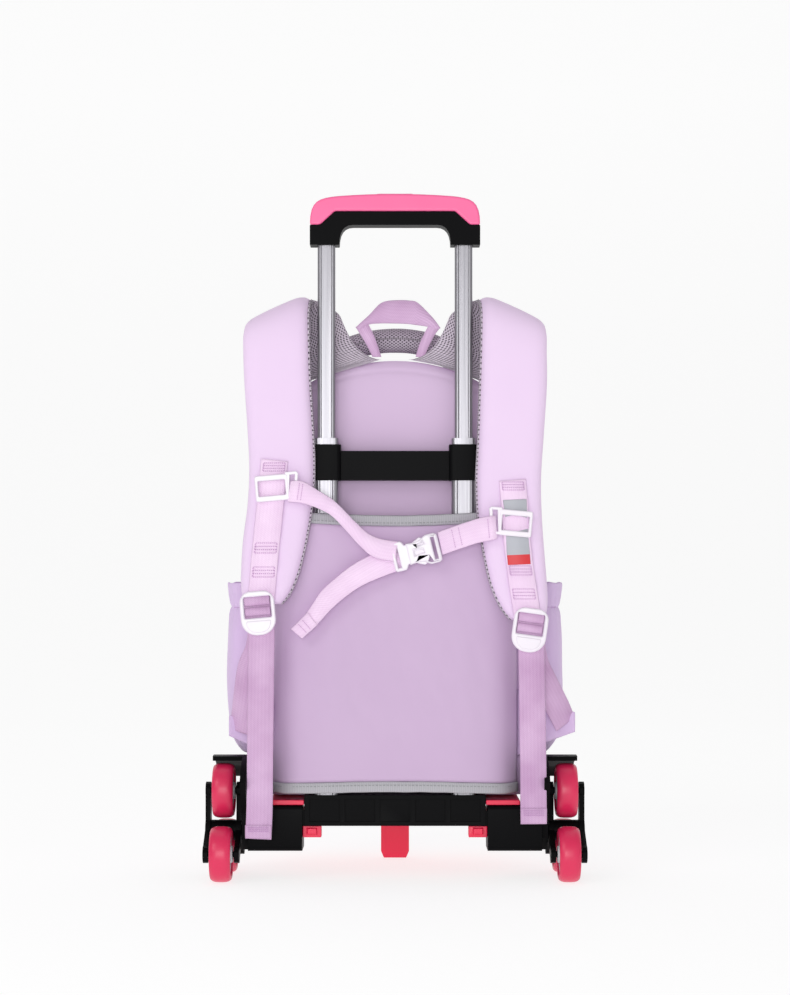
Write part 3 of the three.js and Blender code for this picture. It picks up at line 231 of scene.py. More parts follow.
class Finish:
    """A material with one Principled shader, for one slot of the record."""

    def __init__(self, name, slot, **constants):
        self.slot = slot
        self.material = bpy.data.materials.new(name)
        self.material.use_nodes = True
        self.tree = self.material.node_tree
        self.shader = self.tree.nodes["Principled BSDF"]
        for key, value in constants.items():
            self.shader.inputs[key.replace("_", " ").title()].default_value = value

    def node(self, kind, settings=None, values=None):
        made = self.tree.nodes.new(kind)
        for key, value in (settings or {}).items():
            setattr(made, key, value)
        for key, value in (values or {}).items():
            if isinstance(value, Signal):
                self.tree.links.new(value.socket, made.inputs[key])
            else:
                made.inputs[key].default_value = value
        return Outputs(self, made)

    def place(self):
        return self.node("ShaderNodeTexCoord")["Object"]

    def axes(self, vector):
        parts = self.node("ShaderNodeSeparateXYZ", {}, {0: vector})
        return parts[0], parts[1], parts[2]

    def noise(self, vector, scale, detail=3.0, roughness=0.55):
        return self.node("ShaderNodeTexNoise", {}, {
            "Vector": vector, "Scale": scale, "Detail": detail, "Roughness": roughness})[0]

    def blend(self, factor, first, second):
        mix = self.node("ShaderNodeMix", {"data_type": "RGBA"}, {0: factor})
        for index, value in ((6, first), (7, second)):
            if isinstance(value, Signal):
                self.tree.links.new(value.socket, mix.made.inputs[index])
            else:
                mix.made.inputs[index].default_value = (*value, 1)
        return mix[2]

    def feed(self, name, signal):
        self.tree.links.new(signal.socket, self.shader.inputs[name])

    def bump(self, height, strength, distance):
        made = self.node("ShaderNodeBump", {}, {
            "Height": height, "Strength": strength, "Distance": distance})
        self.feed("Normal", made[0])


class Outputs:
    """The outputs of a node, by name or by number."""

    def __init__(self, finish, made):
        self.finish, self.made = finish, made

    def __getitem__(self, key):
        return Signal(self.finish, self.made.outputs[key])


def linear(red, green, blue):
    """A screen colour from 0 to 255 as the light values that a shader works in."""
    def one(value):
        value = value / 255
        return value / 12.92 if value <= 0.04045 else ((value + 0.055) / 1.055) ** 2.4
    return one(red), one(green), one(blue)


print("lilac in light values", [round(value, 3) for value in linear(232, 206, 243)])

# %% [markdown]
# The bag is sewn from a dense matt polyester. Up close it is a plain weave with soft blotches
# where the coating is thicker. Two crossed waves make the weave, broad noise makes the blotches,
# and both only tint the colour a little, because the real cloth looks almost even.

# %% Cloth of the bag
CLOTH_UV = "cloth"
THREAD = 0.0009


def woven(finish, thread, vector):
    across, along, _ = finish.axes(vector)
    turns = 2 * math.pi / thread
    return (across * turns).sine() * (along * turns).sine()


def cloth_finish(name, light, dark, thread=THREAD, depth=0.00006):
    finish = Finish(name, "lilac_fabric", roughness=0.82, sheen_weight=0.12, sheen_roughness=0.5)
    uv = finish.node("ShaderNodeUVMap", {"uv_map": CLOTH_UV})["UV"]
    weave = woven(finish, thread, uv)
    blotch = finish.noise(finish.place(), 9.0)
    shade = (weave * 0.12 + (blotch - 0.5) * 0.9 + 0.35).clamped()
    finish.feed("Base Color", finish.blend(shade, light, dark))
    finish.feed("Roughness", 0.74 + blotch * 0.16)
    finish.bump(weave * 0.5 + finish.noise(finish.place(), 60.0) * 1.6, 0.35, depth)
    return finish


# The five copies are one lilac cloth and differ only in brightness: the straps' lighter copy is
# painted light, the sleeve's darker copy is painted shade, and the bag, panel and pocket lie
# between.
bag_cloth = cloth_finish("bag_cloth", linear(214, 188, 222), linear(204, 175, 214))
strap_cloth = cloth_finish("strap_cloth", linear(238, 214, 242), linear(230, 204, 236))
sleeve_cloth = cloth_finish("sleeve_cloth", linear(206, 180, 211), linear(197, 169, 203))
panel_cloth = cloth_finish("panel_cloth", linear(217, 191, 221), linear(207, 180, 213))
pocket_cloth = cloth_finish("pocket_cloth", linear(223, 197, 234), linear(212, 184, 225),
                            0.0012, 0.0001)
print("cloths", 5)

# %% [markdown]
# Webbing is woven thicker than the bag cloth, from glossy yarn, in a slanting twill. Its ribs run
# along the strap and catch the light as they tilt, so roughness changes with the twill too. Slow
# noise also lightens and darkens its colour in patches: painted sheen. The straps carry a paler
# webbing than the tails below the locks.

# %% Webbing


def webbing_finish(name, light, dark):
    finish = Finish(name, "webbing", roughness=0.5, sheen_weight=0.15)
    uv = finish.node("ShaderNodeUVMap", {"uv_map": CLOTH_UV})["UV"]
    across, along, _ = finish.axes(uv)
    twill = ((across * 2600.0) + (along * 3400.0)).sine()
    rib = (across * 1900.0).sine()
    # painted sheen: slow noise lightens and darkens the colour in patches, and changes the
    # roughness with it
    painted_sheen = finish.noise(finish.place(), 28.0, 2.0)
    shade = (twill * 0.16 + rib * 0.06 + (painted_sheen - 0.5) * 1.3 + 0.45).clamped()
    finish.feed("Base Color", finish.blend(shade, light, dark))
    finish.feed("Roughness", 0.42 + painted_sheen * 0.2 + twill * 0.05)
    finish.bump(twill * 0.6 + rib * 0.3, 0.5, 0.00016)
    return finish


webbing = webbing_finish("webbing_yarn", linear(219, 184, 219), linear(188, 144, 187))
pale_webbing = webbing_finish("pale_webbing_yarn", linear(248, 222, 247), linear(228, 194, 228))
stitching = Finish("stitching_thread", "webbing", roughness=0.55)
thread_noise = stitching.noise(stitching.place(), 900.0, 1.0)
stitching.feed("Base Color", stitching.blend(thread_noise, linear(204, 160, 206),
                                             linear(182, 136, 186)))
print("webbing finish ready")

# %% [markdown]
# The underside of the straps and the grab handle are covered in spacer mesh: a grey knit with
# rows of round holes. The holes are painted dark in the colour: painted shade, where light falls
# into them. A product of two sines on the cloth's own coordinates puts one hole in every diamond
# of the knit.

# %% Spacer mesh
HOLE_PITCH = 0.0030


def mesh_finish(name, thread, hole_shade):
    finish = Finish(name, "spacer_mesh", roughness=0.85, sheen_weight=0.2)
    uv = finish.node("ShaderNodeUVMap", {"uv_map": CLOTH_UV})["UV"]
    across, along, _ = finish.axes(uv)
    turn = 2 * math.pi / HOLE_PITCH
    knit = (across * turn).sine() * (along * (turn * 0.72)).sine()
    holes = ((knit - 0.15) * 2.4).clamped()
    fuzz = finish.noise(finish.place(), 300.0, 2.0)
    yarn = finish.blend(fuzz, thread, tuple(0.72 * value for value in thread))
    # painted shade: each hole darkens the yarn colour towards a near-black
    deep = finish.blend(holes, (1, 1, 1), hole_shade)
    mixed = finish.node("ShaderNodeMix", {"data_type": "RGBA", "blend_type": "MULTIPLY"}, {0: 1.0})
    finish.tree.links.new(yarn.socket, mixed.made.inputs[6])
    finish.tree.links.new(deep.socket, mixed.made.inputs[7])
    finish.feed("Base Color", mixed[2])
    finish.bump(0.0 - holes, 0.9, 0.0006)
    return finish


spacer_mesh = mesh_finish("spacer_mesh", linear(226, 212, 228), (0.13, 0.11, 0.14))
handle_mesh = mesh_finish("handle_mesh", linear(196, 184, 198), (0.13, 0.11, 0.14))
print("mesh holes every", HOLE_PITCH * 1000, "mm")

# %% [markdown]
# Binding tape is a flat grey grosgrain: short ribs across its width. The label is a bare satin
# patch with one red band, with nothing printed on it.

# %% Binding and label
binding = Finish("binding_tape", "binding_fabric", roughness=0.7)
tape_uv = binding.node("ShaderNodeUVMap", {"uv_map": CLOTH_UV})["UV"]
tape_across = binding.axes(tape_uv)[0]
tape_rib = (tape_across * 3600.0).sine()
binding.feed("Base Color", binding.blend((tape_rib * 0.2 + 0.4).clamped(), linear(192, 190, 196),
                                         linear(150, 149, 155)))
binding.bump(tape_rib, 0.5, 0.00015)

label_satin = Finish("label_satin", "label_fabric", roughness=0.42, sheen_weight=0.2)
label_uv = label_satin.node("ShaderNodeUVMap", {"uv_map": CLOTH_UV})["UV"]
label_along = label_satin.axes(label_uv)[1]
LABEL_BAND_START, LABEL_BAND_END = 0.0525, 0.070
in_band = (label_along > LABEL_BAND_START) * (label_along < LABEL_BAND_END)
satin = (label_along * 5200.0).sine() * 0.1 + 0.4
label_satin.feed("Base Color", label_satin.blend(
    in_band, linear(176, 178, 186), linear(214, 44, 52)))
label_satin.bump(satin, 0.4, 0.0001)
print("label band is", round((LABEL_BAND_END - LABEL_BAND_START) * 1000, 1), "mm long")

# %% [markdown]
# Moulded plastic is even in colour but never perfectly smooth: the mould leaves a fine grain and
# hands polish it. Noise at the scale of the grain goes to the bump, and slow noise changes how
# glossy it is. The black parts have the coarsest grain, the white buckles the finest.

# %% Plastics


def plastic(name, slot, light, dark, roughness, grain_scale, grain_depth, coat=0.0, mirror=0.5):
    finish = Finish(name, slot, coat_weight=coat, coat_roughness=0.2)
    finish.shader.inputs["Specular IOR Level"].default_value = mirror
    place = finish.place()
    grain = finish.noise(place, grain_scale, 2.0)
    slow = finish.noise(place, 14.0, 2.0)
    finish.feed("Base Color", finish.blend((slow * 0.8 + grain * 0.2).clamped(), light, dark))
    finish.feed("Roughness", roughness - 0.06 + slow * 0.12)
    finish.bump(grain, 0.3, grain_depth)
    return finish


black_plastic = plastic("black_plastic", "black_plastic", linear(6, 6, 7), linear(14, 14, 16),
                        0.40, 1400.0, 0.00010, 0.0, 0.05)
white_plastic = plastic("white_plastic", "white_plastic", linear(241, 234, 243),
                        linear(230, 223, 233), 0.30, 900.0, 0.00003, 0.2)
pink_plastic = plastic("pink_plastic", "handle_plastic", linear(252, 114, 166),
                       linear(248, 98, 154), 0.36, 1100.0, 0.00005, 0.15)
tray_plastic = plastic("tray_plastic", "tray_plastic", linear(240, 18, 74), linear(226, 14, 66),
                       0.34, 1000.0, 0.00006, 0.15)
hub_plastic = plastic("hub_plastic", "hub_plastic", linear(214, 213, 216), linear(196, 195, 199),
                      0.4, 900.0, 0.00006)
tyre_rubber = plastic("tyre_rubber", "tyre_rubber", linear(228, 42, 92), linear(214, 32, 80),
                      0.38, 700.0, 0.00008, 0.1)
print("moulded finishes", 6)

# %% [markdown]
# The tubes are drawn aluminium: long, faint lines along the tube and none across it. Noise that is
# squeezed along the length makes such lines, and they change how sharp the reflections are.

# %% Drawn aluminium
tube_metal = Finish("drawn_aluminium", "tube_metal", metallic=0.9)
stretched = tube_metal.node("ShaderNodeMapping", {}, {
    "Vector": tube_metal.place(), "Scale": (900.0, 900.0, 5.0)})["Vector"]
lines = tube_metal.noise(stretched, 1.0, 2.0)
tube_metal.feed("Base Color", tube_metal.blend(lines, linear(171, 169, 174), linear(130, 129, 135)))
tube_metal.feed("Roughness", 0.24 + lines * 0.2)
tube_metal.bump(lines, 0.25, 0.00004)
print("finishes", len(bpy.data.materials))

# %% [markdown]
# Most pieces here are skins drawn through rings of points, as a boat is drawn through its ribs.
# One helper turns rings into a mesh and writes a cloth map in real metres beside it, so that a
# weave keeps its size however the piece curves.

# %% Skins through rings


def cloth_map(mesh, places):
    """Writes the place of every vertex on the flat cloth, in metres, as the mesh's map."""
    layer = mesh.uv_layers.new(name=CLOTH_UV)
    for loop in mesh.loops:
        layer.data[loop.index].uv = places[loop.vertex_index]


def skin(name, rings, closed=False, capped=False, flip=False):
    count = len(rings[0])
    vertices = [point for ring in rings for point in ring]
    faces = []
    for row in range(len(rings) - 1):
        for i in range(count if closed else count - 1):
            j = (i + 1) % count
            a, b = row * count + i, row * count + j
            faces.append((a, b, b + count, a + count))
    if capped:
        last = (len(rings) - 1) * count
        faces.append(tuple(reversed(range(count))))
        faces.append(tuple(range(last, last + count)))
    if flip:
        faces = [tuple(reversed(face)) for face in faces]
    item = new_object(name, vertices, faces)
    places, down = [], 0.0
    centre = count // 2
    for row, ring in enumerate(rings):
        if row:
            down += (Vector(ring[centre]) - Vector(rings[row - 1][centre])).length
        over = 0.0
        for i, point in enumerate(ring):
            if i:
                over += (Vector(point) - Vector(ring[i - 1])).length
            places.append((over, down))
    cloth_map(item.data, places)
    return soften(item)


print("skins are mapped on", CLOTH_UV)

# %% [markdown]
# A drawn skin is a bare surface. Modifiers give it thickness, rounder edges or a finer mesh without
# touching its points, so its measures stay readable. Normals are made to point outwards, because
# a surface that is lit from its wrong side looks dirty.

# %% Thickness, rounding and normals


def soften(item):
    for face in item.data.polygons:
        face.use_smooth = True
    return item


def point_outwards(item):
    shape = bmesh.new()
    shape.from_mesh(item.data)
    bmesh.ops.recalc_face_normals(shape, faces=shape.faces)
    shape.to_mesh(item.data)
    shape.free()
    return item


def finer(item, levels=1):
    modifier = item.modifiers.new("finer", "SUBSURF")
    modifier.levels = modifier.render_levels = levels
    return item


def thicker(item, thickness, offset=-1.0):
    modifier = item.modifiers.new("thickness", "SOLIDIFY")
    modifier.thickness, modifier.offset = thickness, offset
    return item


def rounder(item, width, segments=3, angle=35):
    modifier = item.modifiers.new("round_edges", "BEVEL")
    modifier.width, modifier.segments = width, segments
    modifier.limit_method, modifier.angle_limit = "ANGLE", math.radians(angle)
    modifier.harden_normals = True
    return item


print("thickness and rounding ready")

# %% [markdown]
# Sewn pieces are many small objects while they are drawn, such as a strap and its threads. They are
# joined at the end, so that each stands for one piece of the skeleton and moves with its body.

# %% Joining and dressing


def joined(name, items):
    """One object from several, with their modifiers applied and their materials kept."""
    bpy.context.view_layer.update()
    graph = bpy.context.evaluated_depsgraph_get()
    shape, finishes = bmesh.new(), []
    for item in items:
        mesh = bpy.data.meshes.new_from_object(item.evaluated_get(graph))
        for face in mesh.polygons:
            own = item.data.materials[face.material_index] if item.data.materials else None
            if own not in finishes:
                finishes.append(own)
            face.material_index = finishes.index(own)
        shape.from_mesh(mesh)
        bpy.data.objects.remove(item)
    whole = bpy.data.meshes.new(name)
    shape.to_mesh(whole)
    shape.free()
    for finish in finishes:
        whole.materials.append(finish)
    item = bpy.data.objects.new(name, whole)
    bpy.context.scene.collection.objects.link(item)
    return item


def body_of_node(node):
    return frame["nodes"][node].parent.name.split(":", 1)[1]


def painted(item, finish):
    item.data.materials.append(finish.material)
    return item


def dressed(item, body, slot, *nodes):
    """Lets a piece move with its body and stand for the skeleton's nodes."""
    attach(item, body)
    if nodes:
        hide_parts(*nodes)
    return item


print("bodies in the skeleton", len({body_of_node(node) for node in frame["nodes"]}))

# %% [markdown]
# Curved strips and bands need smooth edges from a few given points. A Catmull-Rom curve passes
# through every point and turns gently between them, which is how webbing and seams lie.

# %% Smooth curves


def curve_at(points, share):
    span = share * (len(points) - 1)
    i = min(int(span), len(points) - 2)
    t = span - i
    p0, p1 = Vector(points[max(i - 1, 0)]), Vector(points[i])
    p2, p3 = Vector(points[i + 1]), Vector(points[min(i + 2, len(points) - 1)])
    return 0.5 * (2 * p1 + (p2 - p0) * t + (2 * p0 - 5 * p1 + 4 * p2 - p3) * t ** 2
                  + (3 * p1 - p0 - 3 * p2 + p3) * t ** 3)


def curve(points, steps):
    return [curve_at(points, i / steps) for i in range(steps + 1)]


def even_curve(points, steps):
    """The same curve with its points at equal distances."""
    fine = curve(points, steps * 8)
    lengths = [0.0]
    for a, b in zip(fine, fine[1:]):
        lengths.append(lengths[-1] + (b - a).length)
    out, j = [], 0
    for i in range(steps + 1):
        want = lengths[-1] * i / steps
        while j < len(fine) - 2 and lengths[j + 1] < want:
            j += 1
        t = (want - lengths[j]) / max(lengths[j + 1] - lengths[j], 1e-9)
        out.append(fine[j].lerp(fine[j + 1], t))
    return out


def line_length(points):
    return sum((b - a).length for a, b in zip(points, points[1:]))


def wander(place, scale, seed):
    """A smooth number between about -1 and 1 that changes from place to place."""
    return noise.noise(Vector(place) * scale + Vector((seed, seed * 0.7, -seed)))


metre = even_curve([Vector((0, 0, 0)), Vector((1, 0, 0))], 4)
print("a metre drawn evenly", round(line_length(metre), 3))

# %% [markdown]
# A webbing strap is a flat band with rounded selvedges. It is drawn as a ring of eight points that
# travels along the path, with its broad side kept towards a given direction, so that it can bend
# and twist but never stretch sideways.

# %% Webbing bands
WEBBING_THICKNESS = 0.0014
WEBBING_WIDTH = 0.025


def band(name, path, across, width, thickness=WEBBING_THICKNESS, ripple=0.0, seed=0.0):
    """path holds places, across the direction of the width at each of them."""
    half, deep = width / 2, thickness / 2
    rings = []
    for i, place in enumerate(path):
        before, after = path[max(i - 1, 0)], path[min(i + 1, len(path) - 1)]
        along = (after - before).normalized()
        side = across[i] if isinstance(across, list) else across
        side = (side - along * side.dot(along)).normalized()
        up = side.cross(along).normalized()
        lift = ripple * wander(place, 55, seed)
        section = [(-1, 0), (-0.94, -1), (0, -1.12), (0.94, -1), (1, 0), (0.94, 1), (0, 1.12),
                   (-0.94, 1)]
        rings.append([place + up * lift * (1 - abs(u) * 0.4) + side * u * half + up * v * deep
                      for u, v in section])
    return point_outwards(skin(name, rings, closed=True, capped=True))


def stitches(name, start, end, count, lift, size=0.0011):
    """A row of short thread bars from start to end, a little proud of the cloth."""
    start, end, lift = Vector(start), Vector(end), Vector(lift)
    along = (end - start).normalized()
    side = along.cross(lift).normalized()
    length = (end - start).length / count * 0.62
    vertices, faces = [], []
    for i in range(count):
        centre = start.lerp(end, (i + 0.5) / count)
        base = len(vertices)
        for u, high in ((-0.5, 0.0), (-0.25, 1.0), (0.25, 1.0), (0.5, 0.0)):
            for v in (-0.5, 0.5):
                vertices.append(centre + along * u * length + side * v * size * 0.6
                                + lift.normalized() * (high * size * 0.45))
        vertices.append(centre - lift.normalized() * size * 0.3)
        faces += [(base, base + 1, base + 3, base + 2), (base + 2, base + 3, base + 5, base + 4),
                  (base + 4, base + 5, base + 7, base + 6)]
        tip = base + 8
        faces += [(tip, base, base + 2), (tip, base + 2, base + 4), (tip, base + 4, base + 6),
                  (tip, base + 3, base + 1), (tip, base + 5, base + 3), (tip, base + 7, base + 5),
                  (tip, base + 1, base), (tip, base + 6, base + 7)]
    item = new_object(name, vertices, faces)
    cloth_map(item.data, [(v.co.x, v.co.z) for v in item.data.vertices])
    return painted(point_outwards(item), stitching)


print("helpers ready")

# %% [markdown]
# The hard parts of the skeleton already have the right forms, but their edges are knife-sharp.
# Moulded edges are rounded, and it is the rounding that catches the light. Each hard piece is
# drawn again from its solid: welded, its flat faces made whole, and its edges rounded.

# %% Hard pieces with rounded edges
CREASE_ANGLE = math.radians(32)


def refined(node, finish, width, segments=2, angle=32):
    source = frame["nodes"][node].data
    shape = bmesh.new()
    shape.from_mesh(source)
    bmesh.ops.remove_doubles(shape, verts=shape.verts, dist=1e-6)
    bmesh.ops.dissolve_limit(shape, angle_limit=math.radians(0.5), verts=shape.verts,
                             edges=shape.edges)
    bmesh.ops.recalc_face_normals(shape, faces=shape.faces)
    mesh = bpy.data.meshes.new(node + "_moulded")
    for face in shape.faces:
        face.smooth = True
    shape.to_mesh(mesh)
    shape.free()
    mesh.set_sharp_from_angle(angle=CREASE_ANGLE)
    item = bpy.data.objects.new(node + "_moulded", mesh)
    bpy.context.scene.collection.objects.link(item)
    mesh.materials.append(finish.material)
    if width:
        rounder(item, width, segments, angle)
    return dressed(item, body_of_node(node), finish.slot, node)


for side in ("left", "right"):
    for name in ("outer_tube_", "mid_tube_", "inner_tube_"):
        refined(name + side, tube_metal, 0.0)
    refined("latch_" + side, tray_plastic, 0.0008)
    refined("fender_" + side, black_plastic, 0.0012)
    refined("star_" + side, black_plastic, 0.0010)
refined("bridge", black_plastic, 0.0010)
refined("base_housing", black_plastic, 0.0012)
refined("tray", tray_plastic, 0.0012)
refined("push_button", pink_plastic, 0.0012)
refined("handle_grip", black_plastic, 0.0016, 3)
refined("handle_cover", pink_plastic, 0.0022, 4)

# %% [markdown]
# The measures of the soft pieces follow, in metres. Depths are counted from the tubes' middle
# plane: minus is towards the wearer, plus is into the bag.

# %% Measures of the soft pieces
BAG_BACK, BAG_DEPTH = 0.0203, 0.156
BAG_HALF_WIDTH, BAG_BOTTOM, BAG_HEIGHT = 0.141, 0.0773, 0.421
PANEL_FACE, PANEL_THICKNESS = 0.012, 0.008
PANEL_HALF_WIDTH, PANEL_TOP = 0.118, 0.5013
STRAP_FRONT, STRAP_REAR = -0.023, 0.020
SIGNS = {"left": -1, "right": 1}


def at(x, depth, z):
    return Vector((x, tube_y + depth, z))


def seen(column, row, depth=-0.030):
    """The place of the photographed point in that column and row, at a depth behind the tubes."""
    scale = (CAMERA_DISTANCE + HARNESS_BEHIND_TUBES + depth) / FOCAL_PIXELS
    return at((column - IMAGE_WIDTH / 2 - 0.5) * scale, depth,
              CAMERA_HEIGHT + (HORIZON_PIXEL - row) * scale)


def panel_edge(x):
    """Height of the back panel's arched top, at a distance from the middle."""
    share = min(abs(x) / PANEL_HALF_WIDTH, 1)
    return PANEL_TOP - BAG_HEIGHT * (0.095 * share ** 2 + 0.06 * share ** 8)


print("panel top at its corner", round(panel_edge(PANEL_HALF_WIDTH), 4))

# %% [markdown]
# The bag's body is drawn through level rings: a rounded rectangle, flat at the back, bulging in
# front, and narrowing over the top. Cloth that stands on its own hangs in long soft folds, deepest
# at mid height and none at the seams. They are slow noise, stretched along the height. The last
# rings at the very top are too small for all the steps of a straight side and have fewer points,
# so the skin is not closed there, under the grab handle; equal steps in every ring would close it.

# %% Body of the bag
BAG_RINGS = [(0, 0.93, 0.93), (0.02, 0.985, 0.98), (0.1, 1, 1), (0.28, 1, 1.01), (0.45, 1, 1),
             (0.6, 1, 0.99), (0.7, 0.995, 0.98), (0.82, 0.94, 0.94), (0.9, 0.8, 0.88),
             (0.95, 0.62, 0.81), (0.975, 0.45, 0.74), (0.992, 0.25, 0.66), (1, 0.1, 0.6)]
BAG_CORNER, BAG_CROWN = 0.034, 0.045
CORNER_POINTS, BROAD_STEPS, SIDE_STEPS, STEP_LENGTH = 9, 16, 8, 0.012


def bag_point_ring(half, back, front, z):
    radius = min(BAG_CORNER, half * 0.8, (front - back) * 0.45)
    crown = (front - back) * BAG_CROWN
    points = []
    for x, y, start, squash in ((half - radius, back + radius * 0.5, -90, 0.5),
                                (half - radius, front - radius, 0, 1),
                                (-half + radius, front - radius, 90, 1),
                                (-half + radius, back + radius * 0.5, 180, 0.5)):
        for i in range(CORNER_POINTS):
            angle = math.radians(start + 90 * i / (CORNER_POINTS - 1))
            points.append((x + radius * math.cos(angle), y + radius * squash * math.sin(angle)))
    dense = []
    for i, (x, y) in enumerate(points):
        u, v = points[(i + 1) % len(points)]
        corner_ends = (i + 1) % CORNER_POINTS == 0
        straight = corner_ends and round(math.hypot(u - x, v - y) / STEP_LENGTH) > 1
        steps = (BROAD_STEPS if abs(u - x) > abs(v - y) else SIDE_STEPS) if straight else 1
        for k in range(steps):
            px, py = x + (u - x) * k / steps, y + (v - y) * k / steps
            rise = max(0.0, (py - back) / (front - back) - 0.5) * 2
            dense.append(at(px, py + crown * rise * (1 - (px / half) ** 2) - crown * rise, z))
    return dense


level_ring = bag_point_ring(BAG_HALF_WIDTH, BAG_BACK, BAG_BACK + BAG_DEPTH, 0)
print("a level ring has", len(level_ring), "points")

# %% [markdown]
# The table above gives the width and depth at a few heights; a smooth curve through its rows gives
# them at any height. The folds push each point in or out, but not at the back, which lies flat on
# the panel.

# %% Folds of the standing cloth


def bag_share(up):
    return curve_at([Vector(row) for row in BAG_RINGS], ring_share(up))


def ring_share(up):
    heights = [row[0] for row in BAG_RINGS]
    for i in range(len(heights) - 1):
        if up <= heights[i + 1]:
            step = (up - heights[i]) / (heights[i + 1] - heights[i])
            return (i + step) / (len(heights) - 1)
    return 1.0


def bag_ring_at(up, grow=0.0):
    _, wide, deep = bag_share(up)
    return bag_point_ring(BAG_HALF_WIDTH * wide + grow, BAG_BACK - grow,
                          BAG_BACK + BAG_DEPTH * deep + grow, BAG_BOTTOM + up * BAG_HEIGHT)


FOLD_DEPTH = 0.0034


def folded(ring, up):
    """Moves a ring's points in and out by the folds of the standing cloth."""
    centre = sum(ring, Vector()) / len(ring)
    strength = FOLD_DEPTH * math.sin(math.pi * min(max(up, 0), 1)) ** 0.7
    out = []
    for point in ring:
        away = Vector((point.x - centre.x, point.y - centre.y, 0)).normalized()
        slow = wander((point.x * 9, point.y * 9, point.z * 4.5), 1.0, 3.1)
        sharp = wander((point.x * 22, point.y * 22, point.z * 11), 1.0, 8.4)
        back = 1 - min(max((point.y - tube_y - BAG_BACK) / 0.02, 0), 1)
        out.append(point + away * strength * (slow * 0.8 + sharp * 0.35 - 0.35) * (1 - back))
    return out


bag_levels = [0, 0.006, 0.014] + [0.02 + 0.96 * i / 54 for i in range(55)] + [0.988, 0.995, 1]
bag_rings = [folded(bag_ring_at(up), up) for up in bag_levels]
bag_shell = painted(skin("bag_shell", bag_rings, closed=True, capped=True), bag_cloth)
finer(point_outwards(bag_shell))
dressed(bag_shell, "root", "lilac_fabric", "back_shell", "front_shell")
print("rings in the bag", len(bag_rings), "with points", len(bag_rings[0]))

# %% [markdown]
# A zip runs over the bag from side to side, and piping marks the seams in front of and behind it.
# All three follow the bag's own outline, seen from the wearer's side, at their own depth.

# %% Zip and piping
ZIP_START = 0.495
ZIP_DEPTH = BAG_BACK + BAG_DEPTH * 0.48


def over_the_bag(start, grow, depth_at, corner_angle=None, steps=44):
    """Points up the left side of the bag, over its top and down the right side."""
    side = []
    for i in range(steps + 1):
        up = start + (1 - start) * math.sin(math.pi / 2 * i / steps)
        _, wide, deep = bag_share(up)
        half = BAG_HALF_WIDTH * wide
        x, depth, z = half + grow, depth_at(deep), BAG_BOTTOM + up * BAG_HEIGHT
        if corner_angle is not None:
            radius = min(BAG_CORNER, half * 0.8, BAG_DEPTH * deep * 0.45)
            turn = math.radians(corner_angle)
            crown = BAG_DEPTH * deep * BAG_CROWN
            x = half - radius + (radius + grow) * math.cos(turn)
            depth = depth - radius + (radius + grow) * math.sin(turn) - crown * 0.8
        z += grow * max(0.0, (up - 0.9) / 0.1)
        side.append((x, depth, z))
    return [at(-x, d, z) for x, d, z in side] + [at(x, d, z) for x, d, z in reversed(side)]


INWARD = Vector((0, 1, 0))
zip_path = over_the_bag(ZIP_START, 0.0012, lambda deep: ZIP_DEPTH)
zip_tape = painted(band("zip_tape", zip_path, INWARD, 0.020, 0.0012), bag_cloth)
coil_path = over_the_bag(ZIP_START, 0.0022, lambda deep: ZIP_DEPTH)
coil = painted(band("zip_coil", coil_path, INWARD, 0.0052, 0.0016), webbing)
edges = [painted(band(f"zip_edge_{i}", over_the_bag(ZIP_START, 0.0021, lambda deep, off=off:
                      ZIP_DEPTH + off), INWARD, 0.0012, 0.0010), stitching)
         for i, off in enumerate((-0.0082, 0.0082))]


print("zip tape of", len(zip_path), "places")

# %% [markdown]
# Piping is a thin cord under cloth, so it is a round cord here. The pullers of the zip are small
# boxes with rounded edges, one pair at each end of the closed zip's middle.

# %% Round cords and small lumps


def round_cord(name, path, radius, sides=10):
    rings = []
    for i, place in enumerate(path):
        along = (path[min(i + 1, len(path) - 1)] - path[max(i - 1, 0)]).normalized()
        first = along.cross(Vector((0.13, 0.31, 0.94))).normalized()
        second = along.cross(first)
        rings.append([place + radius * (math.cos(t) * first + math.sin(t) * second)
                      for t in (2 * math.pi * k / sides for k in range(sides))])
    return point_outwards(skin(name, rings, closed=True, capped=True))


piping = [painted(round_cord("front_piping", over_the_bag(
    0.06, 0.0008, lambda deep: BAG_BACK + BAG_DEPTH * deep, 50, 60), 0.0020), webbing)]


def lump(name, size, place, finish, width=0.0006):
    """A box of that size with rounded edges, centred on a place."""
    x, y, z = (value / 2 for value in size)
    corners = [Vector((a, b, c)) for a in (-x, x) for b in (-y, y) for c in (-z, z)]
    faces = [(0, 1, 3, 2), (4, 6, 7, 5), (0, 4, 5, 1), (2, 3, 7, 6), (0, 2, 6, 4), (1, 5, 7, 3)]
    item = new_object(name, [place + corner for corner in corners], faces)
    cloth_map(item.data, [(v.co.x, v.co.z) for v in item.data.vertices])
    return rounder(painted(soften(item), finish), width)


pullers = []
for i, spot in enumerate((30, 50)):
    seat = coil_path[spot]
    pullers.append(lump(f"zip_slider_{i}", (0.007, 0.010, 0.004), seat + Vector((0, 0, 0.0018)),
                        white_plastic))
    pullers.append(lump(f"zip_puller_{i}", (0.0022, 0.007, 0.020),
                        seat + Vector((math.copysign(0.003, seat.x), 0.001, -0.0075)), webbing))
zip_piece = joined("zip_with_pullers", [zip_tape, coil] + edges + pullers)
dressed(zip_piece, "root", "webbing", "zip")
seam_piping = joined("seam_piping", piping)
dressed(seam_piping, "root", "webbing")
print("zip of", round(line_length(zip_path), 3), "m")

# %% [markdown]
# The back panel is foam under cloth. Its edge is sewn down, so it is thin there and swells within
# two centimetres of the seam. A stitched line runs round it just inside the edge.

# %% Back panel
PANEL_LOW = 0.0833
PANEL_SEAM = 0.010


